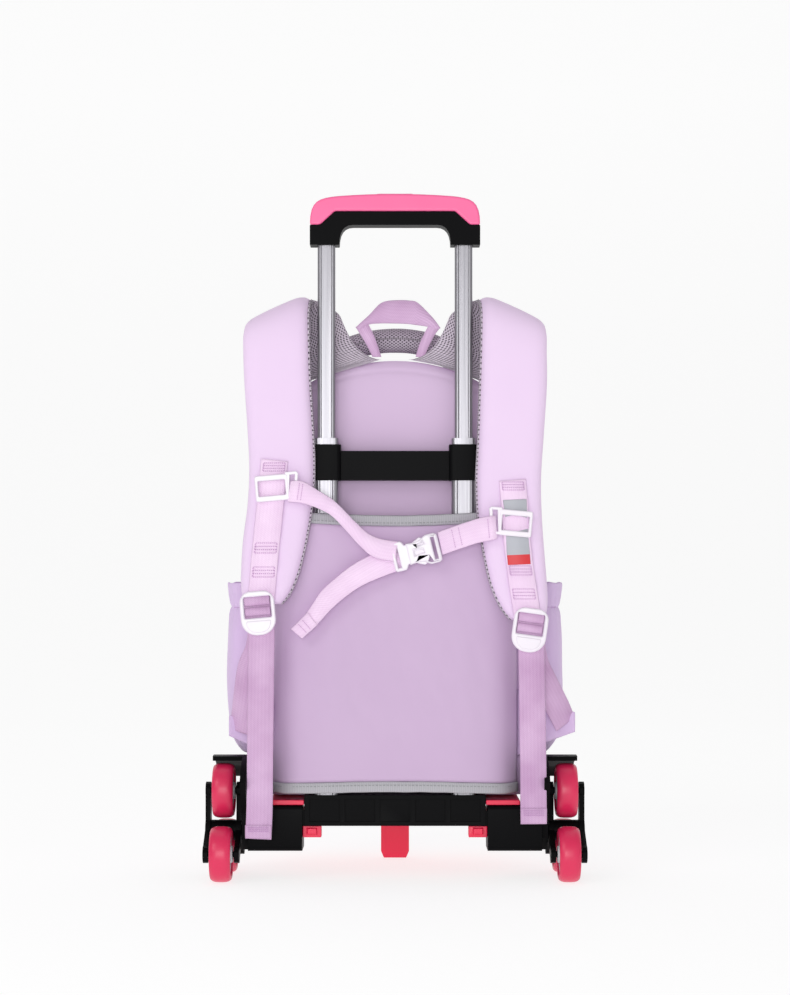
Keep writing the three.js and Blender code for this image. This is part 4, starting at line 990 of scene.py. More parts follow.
def panel_place(across, up):
    """A point of the panel: across from -1 to 1, up from 0 to 1."""
    x = across * PANEL_HALF_WIDTH
    z = PANEL_LOW + up * (panel_edge(x) - PANEL_LOW)
    from_side = PANEL_HALF_WIDTH * (1 - abs(across))
    from_top = panel_edge(x) - z
    near = min(from_side, from_top, z - PANEL_LOW)
    swell = 1 - math.exp(-max(near, 0) / 0.007)
    seam = math.exp(-((near - PANEL_SEAM) / 0.0016) ** 2) * 0.0011
    soft = 0.0007 * wander((x, 0, z), 26, 5.0) + 0.0004 * wander((x, 0, z), 60, 2.0)
    depth = PANEL_FACE + PANEL_THICKNESS - 0.0005 - (PANEL_THICKNESS - 0.0006) * swell
    return at(x, depth + (seam + soft) * swell, z)


PANEL_ACROSS, PANEL_UP = 72, 110
shares = [math.sin(math.pi / 2 * (2 * i / PANEL_ACROSS - 1)) for i in range(PANEL_ACROSS + 1)]
lifts = [0.5 - 0.5 * math.cos(math.pi * j / PANEL_UP) for j in range(PANEL_UP + 1)]
panel_rows = [[panel_place(u, v) for u in shares] for v in lifts]
back_panel = skin("back_panel_padded", panel_rows)
rear = [[Vector((p.x, tube_y + BAG_BACK - 0.0002, p.z)) for p in row] for row in panel_rows]
back_rear = skin("back_panel_rear", rear, flip=True)
panel_piece = joined("padded_back_panel", [painted(back_panel, panel_cloth),
                                           painted(back_rear, panel_cloth)])
dressed(panel_piece, "root", "lilac_fabric", "back_panel")

# %% [markdown]
# The sleeve is the plain sheet that covers the tubes. It lies over them in the middle and is sewn
# to the panel at both sides. It is not quite flat: the tubes press it out a little and the
# space between them lets it sink.

# %% Line of the sleeve
SLEEVE_FACE, SLEEVE_THICKNESS = -0.0150, 0.0024
SLEEVE_TOP, SLEEVE_BOTTOM, SLEEVE_DIP = 0.345, 0.093, 0.0055
SLEEVE_OUTLINE = [(-1, 1), (-0.985, 0.78), (-0.93, 0.45), (-0.86, 0.22), (-0.74, 0.07), (-0.5, 0),
                  (-0.25, 0), (0, 0), (0.25, 0), (0.5, 0), (0.74, 0.07), (0.86, 0.22),
                  (0.93, 0.45), (0.985, 0.78), (1, 1)]
SLEEVE_STATIONS = 90
SLEEVE_BOW = 0.0015
sleeve_reach = PANEL_FACE - 0.0003 - SLEEVE_FACE
sleeve_line = even_curve([
    Vector((u * PANEL_HALF_WIDTH, SLEEVE_FACE + sleeve_reach * v - SLEEVE_BOW * (1 - u * u), 0))
    for u, v in SLEEVE_OUTLINE], SLEEVE_STATIONS)
print("sleeve reaches", round(sleeve_reach, 4), "m forward of the panel")

# %% [markdown]
# The sleeve's upper and lower edges dip towards the middle, because the cloth is cut straight
# and pulled over two tubes. It presses on each tube, sinks a little between them, and has slow
# waves and finer creases that die out at the sewn sides and at the edges.

# %% How the sleeve lies
TUBE_PLACE, PRESS_REACH, PRESS_DEPTH = 0.066, 0.016, 0.0008
SINK_REACH, SINK_DEPTH = 0.032, 0.0016
WAVE_DEPTH, CREASE_DEPTH = 0.0022, 0.0009


def sleeve_dip(x):
    return SLEEVE_DIP * math.cos(math.pi * x / (2 * PANEL_HALF_WIDTH))


def sleeve_top(x):
    return SLEEVE_TOP - sleeve_dip(x)


def sleeve_bottom(x):
    return SLEEVE_BOTTOM + sleeve_dip(x) * 0.5


def sleeve_place(i, z, lift=0.0, calm=1.0):
    """Point of the sleeve at station i and height z, lifted off its surface."""
    here = sleeve_line[i]
    before, after = sleeve_line[max(i - 1, 0)], sleeve_line[min(i + 1, SLEEVE_STATIONS)]
    way = (after - before).normalized()
    out = Vector((way.y, -way.x, 0))
    share = (z - SLEEVE_BOTTOM) / (SLEEVE_TOP - SLEEVE_BOTTOM)
    free = math.sin(math.pi * min(max(share, 0), 1))
    slack = 1 - min(abs(here.x) / PANEL_HALF_WIDTH, 1) ** 6
    press = PRESS_DEPTH * math.exp(-((abs(here.x) - TUBE_PLACE) / PRESS_REACH) ** 2)
    sink = SINK_DEPTH * math.exp(-(here.x / SINK_REACH) ** 2) * free
    slow = WAVE_DEPTH * wander((here.x * 0.8, 0, z * 0.45), 22, 11.0)
    crease = CREASE_DEPTH * wander((here.x * 1.4 + z * 0.5, 0, z * 0.5), 46, 4.0)
    soft = (slow + crease) * free * slack * calm
    return at(here.x, here.y, z) + out * (press + soft - sink + lift)


print("edges dip", round(sleeve_dip(0) * 1000, 1), "mm")

# %% [markdown]
# The sleeve is one flat piece of cloth sewn at its sides. The size it was cut to, the length of its
# line by its height, is printed with its area. It lies stretched on the panel.

# %% Sleeve over the tubes


def surface_area(rows):
    """Area of a surface drawn as rows of points, summed over its small panels."""
    total = 0.0
    for low, high in zip(rows, rows[1:]):
        for a, b, c, d in zip(low, low[1:], high[1:], high):
            total += ((b - a).cross(d - a).length + (b - c).cross(d - c).length) / 2
    return total


SLEEVE_ROWS = 80
sleeve_front = []
for j in range(SLEEVE_ROWS + 1):
    row = []
    for i in range(SLEEVE_STATIONS + 1):
        x = sleeve_line[i].x
        low, high = sleeve_bottom(x), sleeve_top(x)
        row.append(sleeve_place(i, low + (high - low) * j / SLEEVE_ROWS))
    sleeve_front.append(row)
# The sleeve wears the darker copy of the lilac cloth: painted shade.
sleeve = painted(skin("sleeve_over_tubes", sleeve_front), sleeve_cloth)
thicker(sleeve, SLEEVE_THICKNESS)
dressed(sleeve, "root", "lilac_fabric", "sleeve_panel")
sleeve_cut = (line_length(sleeve_line), SLEEVE_TOP - SLEEVE_BOTTOM)
sleeve_area = surface_area(sleeve_front)
print("sleeve cut", [round(size, 3) for size in sleeve_cut], round(sleeve_area, 4), "m2")
print("sleeve points", (SLEEVE_ROWS + 1) * (SLEEVE_STATIONS + 1))

# %% [markdown]
# Grey tape binds the sleeve's upper and lower edge. It is folded over the edge, so it stands a
# little proud, has a soft crown, and carries one line of stitches along its middle.

# %% Binding tape of the sleeve
TAPE_HEIGHT, TAPE_LIFT = 0.0105, 0.0012


def tape(name, low_at, high_at, stitch_share):
    levels = [0, 0.06, 0.2, 0.45, 0.55, 0.8, 0.94, 1]
    heights = [-0.0006, TAPE_LIFT * 0.7, TAPE_LIFT, TAPE_LIFT * 0.95, TAPE_LIFT * 0.95, TAPE_LIFT,
               TAPE_LIFT * 0.7, -0.0006]
    rows = []
    for level, lift in zip(levels, heights):
        row = []
        for i in range(SLEEVE_STATIONS + 1):
            x = sleeve_line[i].x
            wave = 0.0004 * wander((x, 0, 0), 60, 9.0)
            z = low_at(x) + (high_at(x) - low_at(x)) * level + wave
            row.append(sleeve_place(i, z, lift + 0.0003))
        rows.append(row)
    front = painted(skin(name, rows), binding)
    thicker(front, 0.0032)
    thread = []
    line = [sleeve_place(i, low_at(sleeve_line[i].x) + (high_at(sleeve_line[i].x)
            - low_at(sleeve_line[i].x)) * stitch_share, TAPE_LIFT + 0.0006)
            for i in range(SLEEVE_STATIONS + 1)]
    for i in range(0, SLEEVE_STATIONS, 6):
        thread.append(stitches(f"{name}_thread_{i}", line[i], line[i + 6], 5, (0, -1, 0), 0.0009))
    for item in thread:
        item.data.materials[0] = grey_thread.material
    return joined(name, [front] + thread)


grey_thread = Finish("grey_thread", "binding_fabric", roughness=0.6)
grey_noise = grey_thread.noise(grey_thread.place(), 900.0, 1.0)
grey_thread.feed("Base Color", grey_thread.blend(grey_noise, linear(150, 152, 154),
                                                 linear(120, 122, 124)))
top_tape = tape("sleeve_top_tape", sleeve_top, lambda x: sleeve_top(x) + TAPE_HEIGHT, 0.30)
dressed(top_tape, "root", "binding_fabric", "sleeve_binding_top")
low_tape = tape("sleeve_low_tape", lambda x: sleeve_bottom(x) - TAPE_HEIGHT, sleeve_bottom, 0.66)
dressed(low_tape, "root", "binding_fabric", "sleeve_binding_bottom")

# %% [markdown]
# A shoulder strap is a long pad with grey spacer mesh under it. It leaves the seam at the back
# panel's top, rises, folds over and falls down the front in an S. Both of its edges are drawn
# first; every cross-section hangs between them.

# %% Edges of the shoulder straps
STRAP_INNER, STRAP_WIDTH, STRAP_ROOT = 0.078, 0.062, 0.015
STRAP_RISE, STRAP_DEPTH = 0.056, 0.043
STRAP_FALL = {"left": 0.264, "right": 0.279}
STRAP_GAP = 0.0015
# On the way over the fold, each row gives the inner edge (out, rise) and the outer edge
# (out, rise), then how far back both lie; out counts from the inner line in strap widths.
STRAP_FOLD = [(-0.58, 0.52, 0.56, -0.15, 0.99, 0.99), (-0.27, 0.86, 0.90, 0.13, 0.97, 0.95),
              (0.03, 1.05, 1.04, 0.40, 0.95, 0.80), (0.09, 1.04, 1.08, 0.52, 0.56, 0.46),
              (0.10, 0.84, 1.09, 0.40, 0.23, 0.16)]
# Down the front: the inner edge (out, fall), the outer edge (out, fall).
STRAP_DOWN = {
    "left": [(0.09, 0.0, 1.08, 0.075), (0.07, 0.16, 1.06, 0.19), (0.02, 0.364, 1.01, 0.364),
             (0.0, 0.504, 0.985, 0.504), (0.03, 0.629, 1.01, 0.629), (0.12, 0.758, 1.08, 0.758),
             (0.23, 0.867, 1.11, 0.867), (0.36, 0.945, 1.11, 0.932), (0.50, 0.99, 1.06, 0.985)],
    "right": [(0.09, 0.0, 1.08, 0.075), (0.07, 0.16, 1.08, 0.19), (0.04, 0.364, 1.03, 0.364),
              (0.01, 0.504, 0.99, 0.504), (0.03, 0.629, 1.0, 0.629), (0.12, 0.758, 1.04, 0.758),
              (0.23, 0.867, 1.08, 0.867), (0.38, 0.945, 1.09, 0.932), (0.53, 0.99, 1.06, 0.985)]}


def strap_place(side, out, back, z):
    return at(SIGNS[side] * (STRAP_INNER + out * STRAP_WIDTH), STRAP_FRONT + back * STRAP_DEPTH, z)


def strap_edge_points(side):
    corner = PANEL_TOP + STRAP_RISE * 0.45
    far = STRAP_ROOT + STRAP_WIDTH * 1.12
    inner = [at(SIGNS[side] * STRAP_ROOT, STRAP_REAR, panel_edge(STRAP_ROOT) + STRAP_GAP)]
    outer = [at(SIGNS[side] * far, STRAP_REAR, panel_edge(far) + STRAP_GAP)]
    for a, a_rise, b, b_rise, a_back, b_back in STRAP_FOLD:
        inner.append(strap_place(side, a, a_back, PANEL_TOP + a_rise * STRAP_RISE))
        outer.append(strap_place(side, b, b_back, PANEL_TOP + b_rise * STRAP_RISE))
    for row, (a, a_fall, b, b_fall) in enumerate(STRAP_DOWN[side]):
        a_back, b_back = (0.06, 0.03) if row == 0 else (0, 0)
        inner.append(strap_place(side, a, a_back, corner - a_fall * STRAP_FALL[side]))
        outer.append(strap_place(side, b, b_back, corner - b_fall * STRAP_FALL[side]))
    return inner, outer


print("strap rows", len(strap_edge_points("left")[0]))

# %% [markdown]
# At each step down the strap, a frame holds its inner edge, the way across and the way out. A
# section is drawn in it as shares of the width. Near the sewn root the section is pulled down
# to the panel's upper edge, as the seam does.

# %% Frames along a strap
STRAP_STEPS = 110
STRAP_SETTLE = 0.12


def strap_frames(side):
    """For each step: the inner edge, the way across to the outer edge, and outwards."""
    inner, outer = strap_edge_points(side)
    a_line, b_line = curve(inner, STRAP_STEPS), curve(outer, STRAP_STEPS)
    middle = [(a + b) / 2 for a, b in zip(a_line, b_line)]
    frames = []
    for i, (a, b) in enumerate(zip(a_line, b_line)):
        along = (middle[min(i + 1, STRAP_STEPS)] - middle[max(i - 1, 0)]).normalized()
        out = (b - a).cross(along).normalized() * -SIGNS[side]
        frames.append((a, b - a, out))
    return frames


def strap_section(frame_row, share, profile):
    """profile gives (across 0 to 1, lift) pairs; returns the ring of points."""
    a, across, out = frame_row
    settle = max(0.0, 1 - share / STRAP_SETTLE)
    ring = []
    for u, lift in profile:
        line = a + across * u
        line.z += settle * (panel_edge(line.x) + STRAP_GAP - line.z)
        ring.append(line + out * lift)
    return ring


print("strap frames", len(strap_frames("left")))

# %% [markdown]
# The pad's face is puffed: full in the middle, falling fast at the sewn edges. The mesh layer is
# flatter and 2 mm wider at the inner edge, where it shows as a thin grey line.

# %% Pads and mesh of the straps
PAD_TOP, PAD_BASE, MESH_BASE = 0.0060, -0.0024, -0.0060
MESH_OVERHANG, MESH_TUCK = 0.0022, 0.0016


def pad_profile(end, place):
    """A puffed face and a flat base; end is 1 along the strap and 0 at its tip."""
    profile = []
    for k in range(25):
        u = 0.5 - 0.5 * math.cos(math.pi * k / 24)
        edge = min(u, 1 - u)
        full = (1 - math.exp(-edge / 0.045)) / (1 - math.exp(-0.5 / 0.045))
        seam = 0.0009 * math.exp(-((edge - 0.085) / 0.016) ** 2)
        puff = 0.0012 * (1 - (2 * u - 1) ** 2)
        soft = 0.0006 * wander((u * 0.06, place, 0), 24, 6.0) * full
        profile.append((u, PAD_BASE + (PAD_TOP - PAD_BASE - 0.0012) * full * end
                        + (puff + soft - seam) * end))
    for u in (0.94, 0.75, 0.5, 0.25, 0.06):
        profile.append((u, PAD_BASE - 0.0001))
    return profile


def mesh_profile(end, width):
    over, tuck = MESH_OVERHANG / width, MESH_TUCK / width
    face, base = PAD_BASE - 0.0003, MESH_BASE + (1 - end) * 0.001
    mid = (face + base) / 2
    top = [(-over * 0.6, face + 0.0006), (0.0, face), (0.5, face), (0.9, face),
           (1 - tuck * 0.6, face + 0.0003)]
    low = [(1 - tuck * 0.5, mid), (1 - tuck, base), (0.85, base)] + [
        (u, base) for u in (0.7, 0.5, 0.3, 0.15)] + [(-over * 0.5, base), (-over, mid)]
    return top + low


def tip_shape(share):
    """1 along the strap, falling to 0 within the last bit at each end, like a rounded nose."""
    near = min(share, 1 - share) / 0.02
    return math.sqrt(max(0.0, 1 - max(0.0, 1 - near) ** 2))


for side in ("left", "right"):
    frames = strap_frames(side)
    pad_rings, mesh_rings = [], []
    for i, row in enumerate(frames):
        share = i / STRAP_STEPS
        end = max(0.06, tip_shape(share))
        width = row[1].length
        pad_rings.append(strap_section(row, share, pad_profile(end, share * 0.4)))
        mesh_rings.append(strap_section(row, share, mesh_profile(end, width)))
    # The pads wear the lighter copy of the lilac cloth: painted light.
    pad = painted(skin("strap_pad_puffed_" + side, pad_rings, closed=True, capped=True),
                  strap_cloth)
    dressed(point_outwards(pad), "root", "lilac_fabric", "strap_pad_" + side)
    under = painted(skin("strap_mesh_knit_" + side, mesh_rings, closed=True, capped=True),
                    spacer_mesh)
    dressed(point_outwards(under), "root", "spacer_mesh", "strap_mesh_" + side)
print("strap points", len(pad.data.vertices))

# %% [markdown]
# Some strips are easier to draw from their two edges than from a middle line. This helper hangs a
# band of webbing between two edge curves, with the same rounded selvedges as before.

# %% Bands between two edges


def band_between(name, first, second, steps=40, thickness=WEBBING_THICKNESS, ripple=0.0, seed=0.0):
    a_line, b_line = curve(first, steps), curve(second, steps)
    deep = thickness / 2
    rings = []
    for i, (a, b) in enumerate(zip(a_line, b_line)):
        before, after = max(i - 1, 0), min(i + 1, steps)
        along = ((a_line[after] + b_line[after]) - (a_line[before] + b_line[before])).normalized()
        side = b - a
        up = side.cross(along).normalized()
        lift = ripple * wander(a, 45, seed)
        ring = []
        for u, v in ((0, 0), (0.03, -1), (0.5, -1.12), (0.97, -1), (1, 0), (0.97, 1), (0.5, 1.12),
                     (0.03, 1)):
            ring.append(a + side * u + up * (v * deep + lift))
        rings.append(ring)
    return point_outwards(skin(name, rings, closed=True, capped=True))


print("a band is", WEBBING_THICKNESS * 1000, "mm thick")

# %% [markdown]
# The webbing on each strap is stitched down in three places and lies loose between them, so it
# bows out a little there. The ladder lock hangs in its lower loop.

# %% Course of the strap webbing
WEBBING_DEPTH = -0.0301
STRAP_WEBBING = {
    "left": [(275.2, 460), (272.6, 485), (270.2, 510), (267.6, 535), (265.0, 560), (263.4, 580),
             (262.0, 594), (261.4, 599)],
    "right": [(513.0, 480), (515.0, 505), (516.6, 530), (518.6, 550), (521.0, 570), (523.8, 590),
              (526.4, 606), (527.2, 614)]}
STITCH_BANDS = {"left": [(463, 471), (543, 553), (567, 577)],
                "right": [(482, 490), (566, 575), (589, 599)]}
WEBBING_BOW = 0.0013
BAND_MIDDLES = {side: [sum(pair) / 2 for pair in bands] for side, bands in STITCH_BANDS.items()}


def bow_at(side, row):
    """How far the webbing stands off the pad at that row of the photograph."""
    stops = BAND_MIDDLES[side]
    for low, high in zip(stops, stops[1:]):
        if low < row < high:
            return WEBBING_BOW * math.sin(math.pi * (row - low) / (high - low)) ** 0.6
    return 0.0


def strap_webbing_place(side, share, shift=0.0, lift=0.0):
    """Place on the webbing: share along it, shift across it in metres, lift off it."""
    column, row, _ = curve_at([Vector((c, r, 0)) for c, r in STRAP_WEBBING[side]], share)
    place = seen(column, row, WEBBING_DEPTH - bow_at(side, row) - lift)
    return place + Vector((shift, 0, 0))


def share_of_row(side, row):
    points = [Vector((c, r, 0)) for c, r in STRAP_WEBBING[side]]
    low, high = 0.0, 1.0
    for _ in range(24):
        middle_share = (low + high) / 2
        if curve_at(points, middle_share).y < row:
            low = middle_share
        else:
            high = middle_share
    return low


print("webbing bows", WEBBING_BOW * 1000, "mm between its stitches")

# %% [markdown]
# A box of thread holds the webbing: four rows across it and one down each of its sides, a
# little inside the edges. The webbing is one strip, joined with its threads.

# %% Webbing on the straps
STITCH_INSET, STITCH_LIFT = 0.0022, 0.0009
STRIP_STEPS = 60


def stitch_block(side, first_row, last_row):
    """Four rows of thread across the webbing, and one down each side of them."""
    made = []
    half = WEBBING_WIDTH / 2 - STITCH_INSET
    for k in range(4):
        share = share_of_row(side, first_row + (last_row - first_row) * k / 3)
        ends = [strap_webbing_place(side, share, sign * half, STITCH_LIFT) for sign in (-1, 1)]
        made.append(stitches(f"thread_{side}_{first_row}_{k}", ends[0], ends[1], 11, (0, -1, 0)))
    top, low = (share_of_row(side, row) for row in (first_row, last_row))
    for sign in (-1, 1):
        ends = [strap_webbing_place(side, share, sign * half, STITCH_LIFT)
                for share in (top, low)]
        made.append(stitches(f"side_thread_{side}_{first_row}_{sign}", ends[0], ends[1], 4,
                             (0, -1, 0)))
    return made


for side in ("left", "right"):
    path = [strap_webbing_place(side, i / STRIP_STEPS) for i in range(STRIP_STEPS + 1)]
    strip = painted(band("strap_webbing_strip", path, Vector((1, 0, 0)), WEBBING_WIDTH + 0.0006,
                         ripple=0.0002, seed=3.0), pale_webbing)
    threads = [item for pair in STITCH_BANDS[side] for item in stitch_block(side, *pair)]
    whole = joined("strap_webbing_sewn_" + side, [strip] + threads)
    dressed(whole, "root", "webbing", "strap_webbing_" + side)
    print(side, "strap webbing", round(line_length(path), 3), "m")

# %% [markdown]
# The bare label is sewn on the right webbing. It is a thin satin patch that ends in a red band.

# %% Label
LABEL_DEPTH = WEBBING_DEPTH - WEBBING_THICKNESS / 2 - 0.0010
label_left = [seen(c, r, LABEL_DEPTH) for c, r in ((503.5, 500), (505.4, 522), (506.6, 545),
                                                   (508.4, 565))]
label_right = [seen(c, r, LABEL_DEPTH) for c, r in ((527, 499), (528.6, 521), (529.8, 544),
                                                    (531.2, 564))]
label = painted(band_between("label_patch", label_left, label_right, 40, 0.0006, 0.0002, 7.0),
                label_satin)
label_length = (label_left[-1] - label_left[0]).length
dressed(label, "root", "label_fabric", "label")
print("label of", round(label_length, 4), "m")

# %% [markdown]
# Flat plastic parts with windows, such as ladder locks and sliders, are drawn as filled outlines.
# Blender's curves fill an outline, leave its holes open, give it thickness and round its edges.

# %% Flat plastic parts
PLATE_EDGE = 0.0008


def plate(name, outline, holes, depth, thickness, finish, edge=PLATE_EDGE, turn=0.0, centre=None):
    """Outline and holes as (x, z) in metres about the centre, turned about it."""
    data = bpy.data.curves.new(name, "CURVE")
    data.dimensions, data.fill_mode = "2D", "BOTH"
    data.extrude, data.bevel_depth, data.bevel_resolution = thickness / 2 - edge, edge, 2
    data.offset = -edge
    for loop in [outline] + holes:
        spline = data.splines.new("POLY")
        spline.points.add(len(loop) - 1)
        for point, (x, z) in zip(spline.points, loop):
            point.co = (x, z, 0, 1)
        spline.use_cyclic_u = True
    draft = bpy.data.objects.new(name, data)
    bpy.context.scene.collection.objects.link(draft)
    bpy.context.view_layer.update()
    mesh = bpy.data.meshes.new_from_object(draft.evaluated_get(
        bpy.context.evaluated_depsgraph_get()))
    bpy.data.objects.remove(draft)
    place = Matrix.Translation(at(centre[0], depth, centre[1])) @ Matrix.Rotation(
        math.radians(-turn), 4, "Y") @ Matrix.Rotation(math.radians(90), 4, "X")
    mesh.transform(place)
    for layer in list(mesh.uv_layers):
        mesh.uv_layers.remove(layer)
    mesh.materials.clear()
    cloth_map(mesh, [(v.co.x, v.co.z) for v in mesh.vertices])
    item = bpy.data.objects.new(name, mesh)
    bpy.context.scene.collection.objects.link(item)
    soften(item)
    mesh.set_sharp_from_angle(angle=math.radians(50))
    return painted(item, finish)


print("edges of flat parts are rounded by", PLATE_EDGE * 1000, "mm")

# %% [markdown]
# A lock's outline is a rectangle with rounded corners, with other radii below than above. The
# webbing that passes over a bar is a short strip, bent in half a turn and tilted with the lock.

# %% Rounded outlines and rolls
ROLL_STEPS = 12


def rounded(half_width, low, high, low_radius, high_radius, points=8):
    """A rounded rectangle from low to high, with other radii below than above."""
    loop = []
    for x, z, radius, start in ((half_width - low_radius, low + low_radius, low_radius, -90),
                                (half_width - high_radius, high - high_radius, high_radius, 0),
                                (-half_width + high_radius, high - high_radius, high_radius, 90),
                                (-half_width + low_radius, low + low_radius, low_radius, 180)):
        for k in range(points + 1):
            angle = math.radians(start + 90 * k / points)
            loop.append((x + radius * math.cos(angle), z + radius * math.sin(angle)))
    return loop


def roll(name, centre, turn, z, height, reach, depth):
    """Webbing that comes out of a lock's window, passes over a bar and goes back in."""
    tilt = Matrix.Rotation(math.radians(-turn), 3, "Y")
    path = []
    for k in range(ROLL_STEPS + 1):
        angle = math.pi * k / ROLL_STEPS
        local = tilt @ Vector((0, -reach * math.sin(angle), z + height / 2 * math.cos(angle)))
        path.append(at(centre[0], depth, centre[1]) + local)
    return painted(band(name, path, tilt @ Vector((1, 0, 0)), WEBBING_WIDTH - 0.0008, 0.0012),
                   webbing)


print("points of a rounded outline", len(rounded(0.01, 0, 0.02, 0.002, 0.002)))

# %% [markdown]
# Each ladder lock is a white oval with one window. The webbing comes out of it twice, over two
# bars, and the wide tongue below is what a thumb lifts.

# %% Ladder locks
LOCKS = {"left": ((258.4, 613), 5.0), "right": ((530.2, 630), -8.0)}
LOCK_DEPTH = -0.0333
LOCK_HALF_WIDTH, LOCK_LOW, LOCK_HIGH = 0.0165, -0.0212, 0.0208


def spot(column, row, depth):
    """Photographed point as (x, z) in metres at a depth, for the parts drawn as plates."""
    place = seen(column, row, depth)
    return place.x, place.z


def lens_tongue(half, low, high):
    """The tongue is a little fuller in its middle, so its outline bows at both sides."""
    return rounded(half, low, high, 0.0150, 0.0105, 12)


for side, (middle_pixel, turn) in LOCKS.items():
    centre = spot(*middle_pixel, LOCK_DEPTH)
    window = list(reversed(rounded(0.0128, -0.0046, 0.0156, 0.0012, 0.0012, 3)))
    body = plate("lock_body", lens_tongue(LOCK_HALF_WIDTH, LOCK_LOW, LOCK_HIGH), [window],
                 LOCK_DEPTH, 0.0042, white_plastic, 0.0013, turn, centre)
    upper = roll("upper_roll", centre, turn, 0.0115, 0.0078, 0.0026, LOCK_DEPTH + 0.0012)
    lower = roll("lower_roll", centre, turn, 0.0014, 0.0070, 0.0022, LOCK_DEPTH + 0.0012)
    shade = plate("lock_shade", rounded(0.0127, -0.0044, 0.0154, 0.0010, 0.0010, 3), [],
                  LOCK_DEPTH + 0.0022, 0.0010, webbing, 0.0002, turn, centre)
    tongue = plate("lock_tongue", rounded(0.0118, -0.0188, -0.0072, 0.0095, 0.0015, 10), [],
                   LOCK_DEPTH - 0.0016, 0.0022, white_plastic, 0.0010, turn, centre)
    lock = joined("ladder_lock_threaded_" + side, [body, upper, lower, shade, tongue])
    dressed(lock, "root", "white_plastic", "ladder_lock_" + side)
    print(side, "lock hangs at", round(turn, 1), "degrees")

# %% [markdown]
# Below each lock the webbing divides. One end hangs free in front, hemmed and stitched at its tip;
# the other goes back to the tip of a cloth wing that is sewn into the bag's side seam.

# %% Free tails and anchored webbing
TAILS = {"left": ([(261.8, 618), (262.0, 640), (261.6, 665), (261.2, 700), (260.8, 740),
                   (260.4, 780), (260.0, 810), (258.8, 839)], (825, 839)),
         "right": ([(532.0, 636), (532.0, 655), (532.6, 690), (533.2, 730), (533.8, 770),
                    (534.0, 800), (534.2, 824)], (808, 824))}
ANCHORS = {"left": [(262, 622, -0.0285), (258.5, 648, -0.0265), (250.5, 668, -0.021),
                    (246.5, 690, -0.014), (243.5, 711, -0.007), (240.5, 732, -0.002)],
           "right": [(532, 640, -0.0285), (537, 664, -0.0265), (546.5, 684, -0.021),
                     (554.5, 700, -0.014), (561, 713, -0.007), (566, 724, -0.002)]}
TAIL_DEPTHS = [-0.0306, -0.0312, -0.0322, -0.0330, -0.0334, -0.0330, -0.0324, -0.0318]
TAIL_STEPS, ANCHOR_STEPS = 70, 50

for side in ("left", "right"):
    pixels, hem = TAILS[side]
    depths = TAIL_DEPTHS[:len(pixels)]
    path = even_curve([seen(c, r, d) for (c, r), d in zip(pixels, depths)], TAIL_STEPS)
    tail = painted(band("free_tail", path, Vector((1, 0, 0)), WEBBING_WIDTH, ripple=0.0007,
                        seed=5.0 + SIGNS[side]), webbing)
    low, high = path[-1], seen(pixels[-1][0], hem[0], depths[-1])
    fold_path = [high + Vector((0, -0.0013, 0)), (high + low) / 2 + Vector((0, -0.0015, 0)),
                 low + Vector((0, -0.0011, 0.0006))]
    hem_fold = painted(band("tail_hem", even_curve(fold_path, 8), Vector((1, 0, 0)), WEBBING_WIDTH,
                            0.0012), webbing)
    threads = []
    for k, share in enumerate((0.16, 0.3, 0.44)):
        place = high.lerp(low, share) + Vector((0, -0.0024, 0))
        threads.append(stitches(f"hem_thread_{side}_{k}", place - Vector((0.010, 0, 0)),
                                place + Vector((0.010, 0, 0)), 10, (0, -1, 0)))
    anchor_path = even_curve([seen(c, r, d) for c, r, d in ANCHORS[side]], ANCHOR_STEPS)
    turns = [Vector((1, 0.15 * SIGNS[side] + 0.5 * SIGNS[side] * i / ANCHOR_STEPS,
                     -0.12 * SIGNS[side] * i / ANCHOR_STEPS)) for i in range(ANCHOR_STEPS + 1)]
    anchor = painted(band("anchored_webbing", anchor_path, turns, WEBBING_WIDTH, ripple=0.0006,
                          seed=2.0), webbing)
    whole = joined("lower_webbing_sewn_" + side, [tail, hem_fold, anchor] + threads)
    dressed(whole, "root", "webbing", "lower_webbing_" + side)
    print(side, "tail hangs", round(line_length(path), 3), "m")

# %% [markdown]
# A wing is a triangle of quilted cloth between the side seam and the webbing. It is drawn as flat
# ovals from its broad root to its narrow tip, with shallow pleats that fade towards the tip.

# %% Wings at the side seams
WING_TIPS = {"left": (229.5, 726), "right": (575.5, 722)}
WING_ROOT_HALF, WING_TIP_HALF = 0.033, 0.0095
WING_RINGS, WING_POINTS = 24, 20
for side, pixel in WING_TIPS.items():
    sign = SIGNS[side]
    tip = seen(*pixel, -0.001)
    root = at(sign * (PANEL_HALF_WIDTH + 0.0004), PANEL_FACE + PANEL_THICKNESS / 2, tip.z - 0.002)
    rings = []
    for i in range(WING_RINGS + 1):
        share = i / WING_RINGS
        centre = root.lerp(tip, share)
        half = WING_ROOT_HALF + (WING_TIP_HALF - WING_ROOT_HALF) * share ** 0.8
        deep = 0.0014 + 0.0012 * math.sin(math.pi * share)
        ring = []
        for k in range(WING_POINTS):
            angle = 2 * math.pi * k / WING_POINTS
            high = math.copysign(abs(math.cos(angle)) ** 0.75, math.cos(angle))
            pleat = 0.0009 * math.sin(9 * high) * (1 - share)
            ring.append(centre + Vector((0, deep * math.sin(angle) + pleat, half * high)))
        rings.append(ring)
    wing = painted(skin("wing_quilted_" + side, rings, closed=True, capped=True), pocket_cloth)
    dressed(point_outwards(wing), "root", "lilac_fabric", "wing_" + side)
print("wing reaches", round((tip - root).length, 3), "m")

# %% [markdown]
# Two sliders ride on the upper webbing. Each is a frame with a slim loop towards the middle, in
# which the sternum webbing hangs.

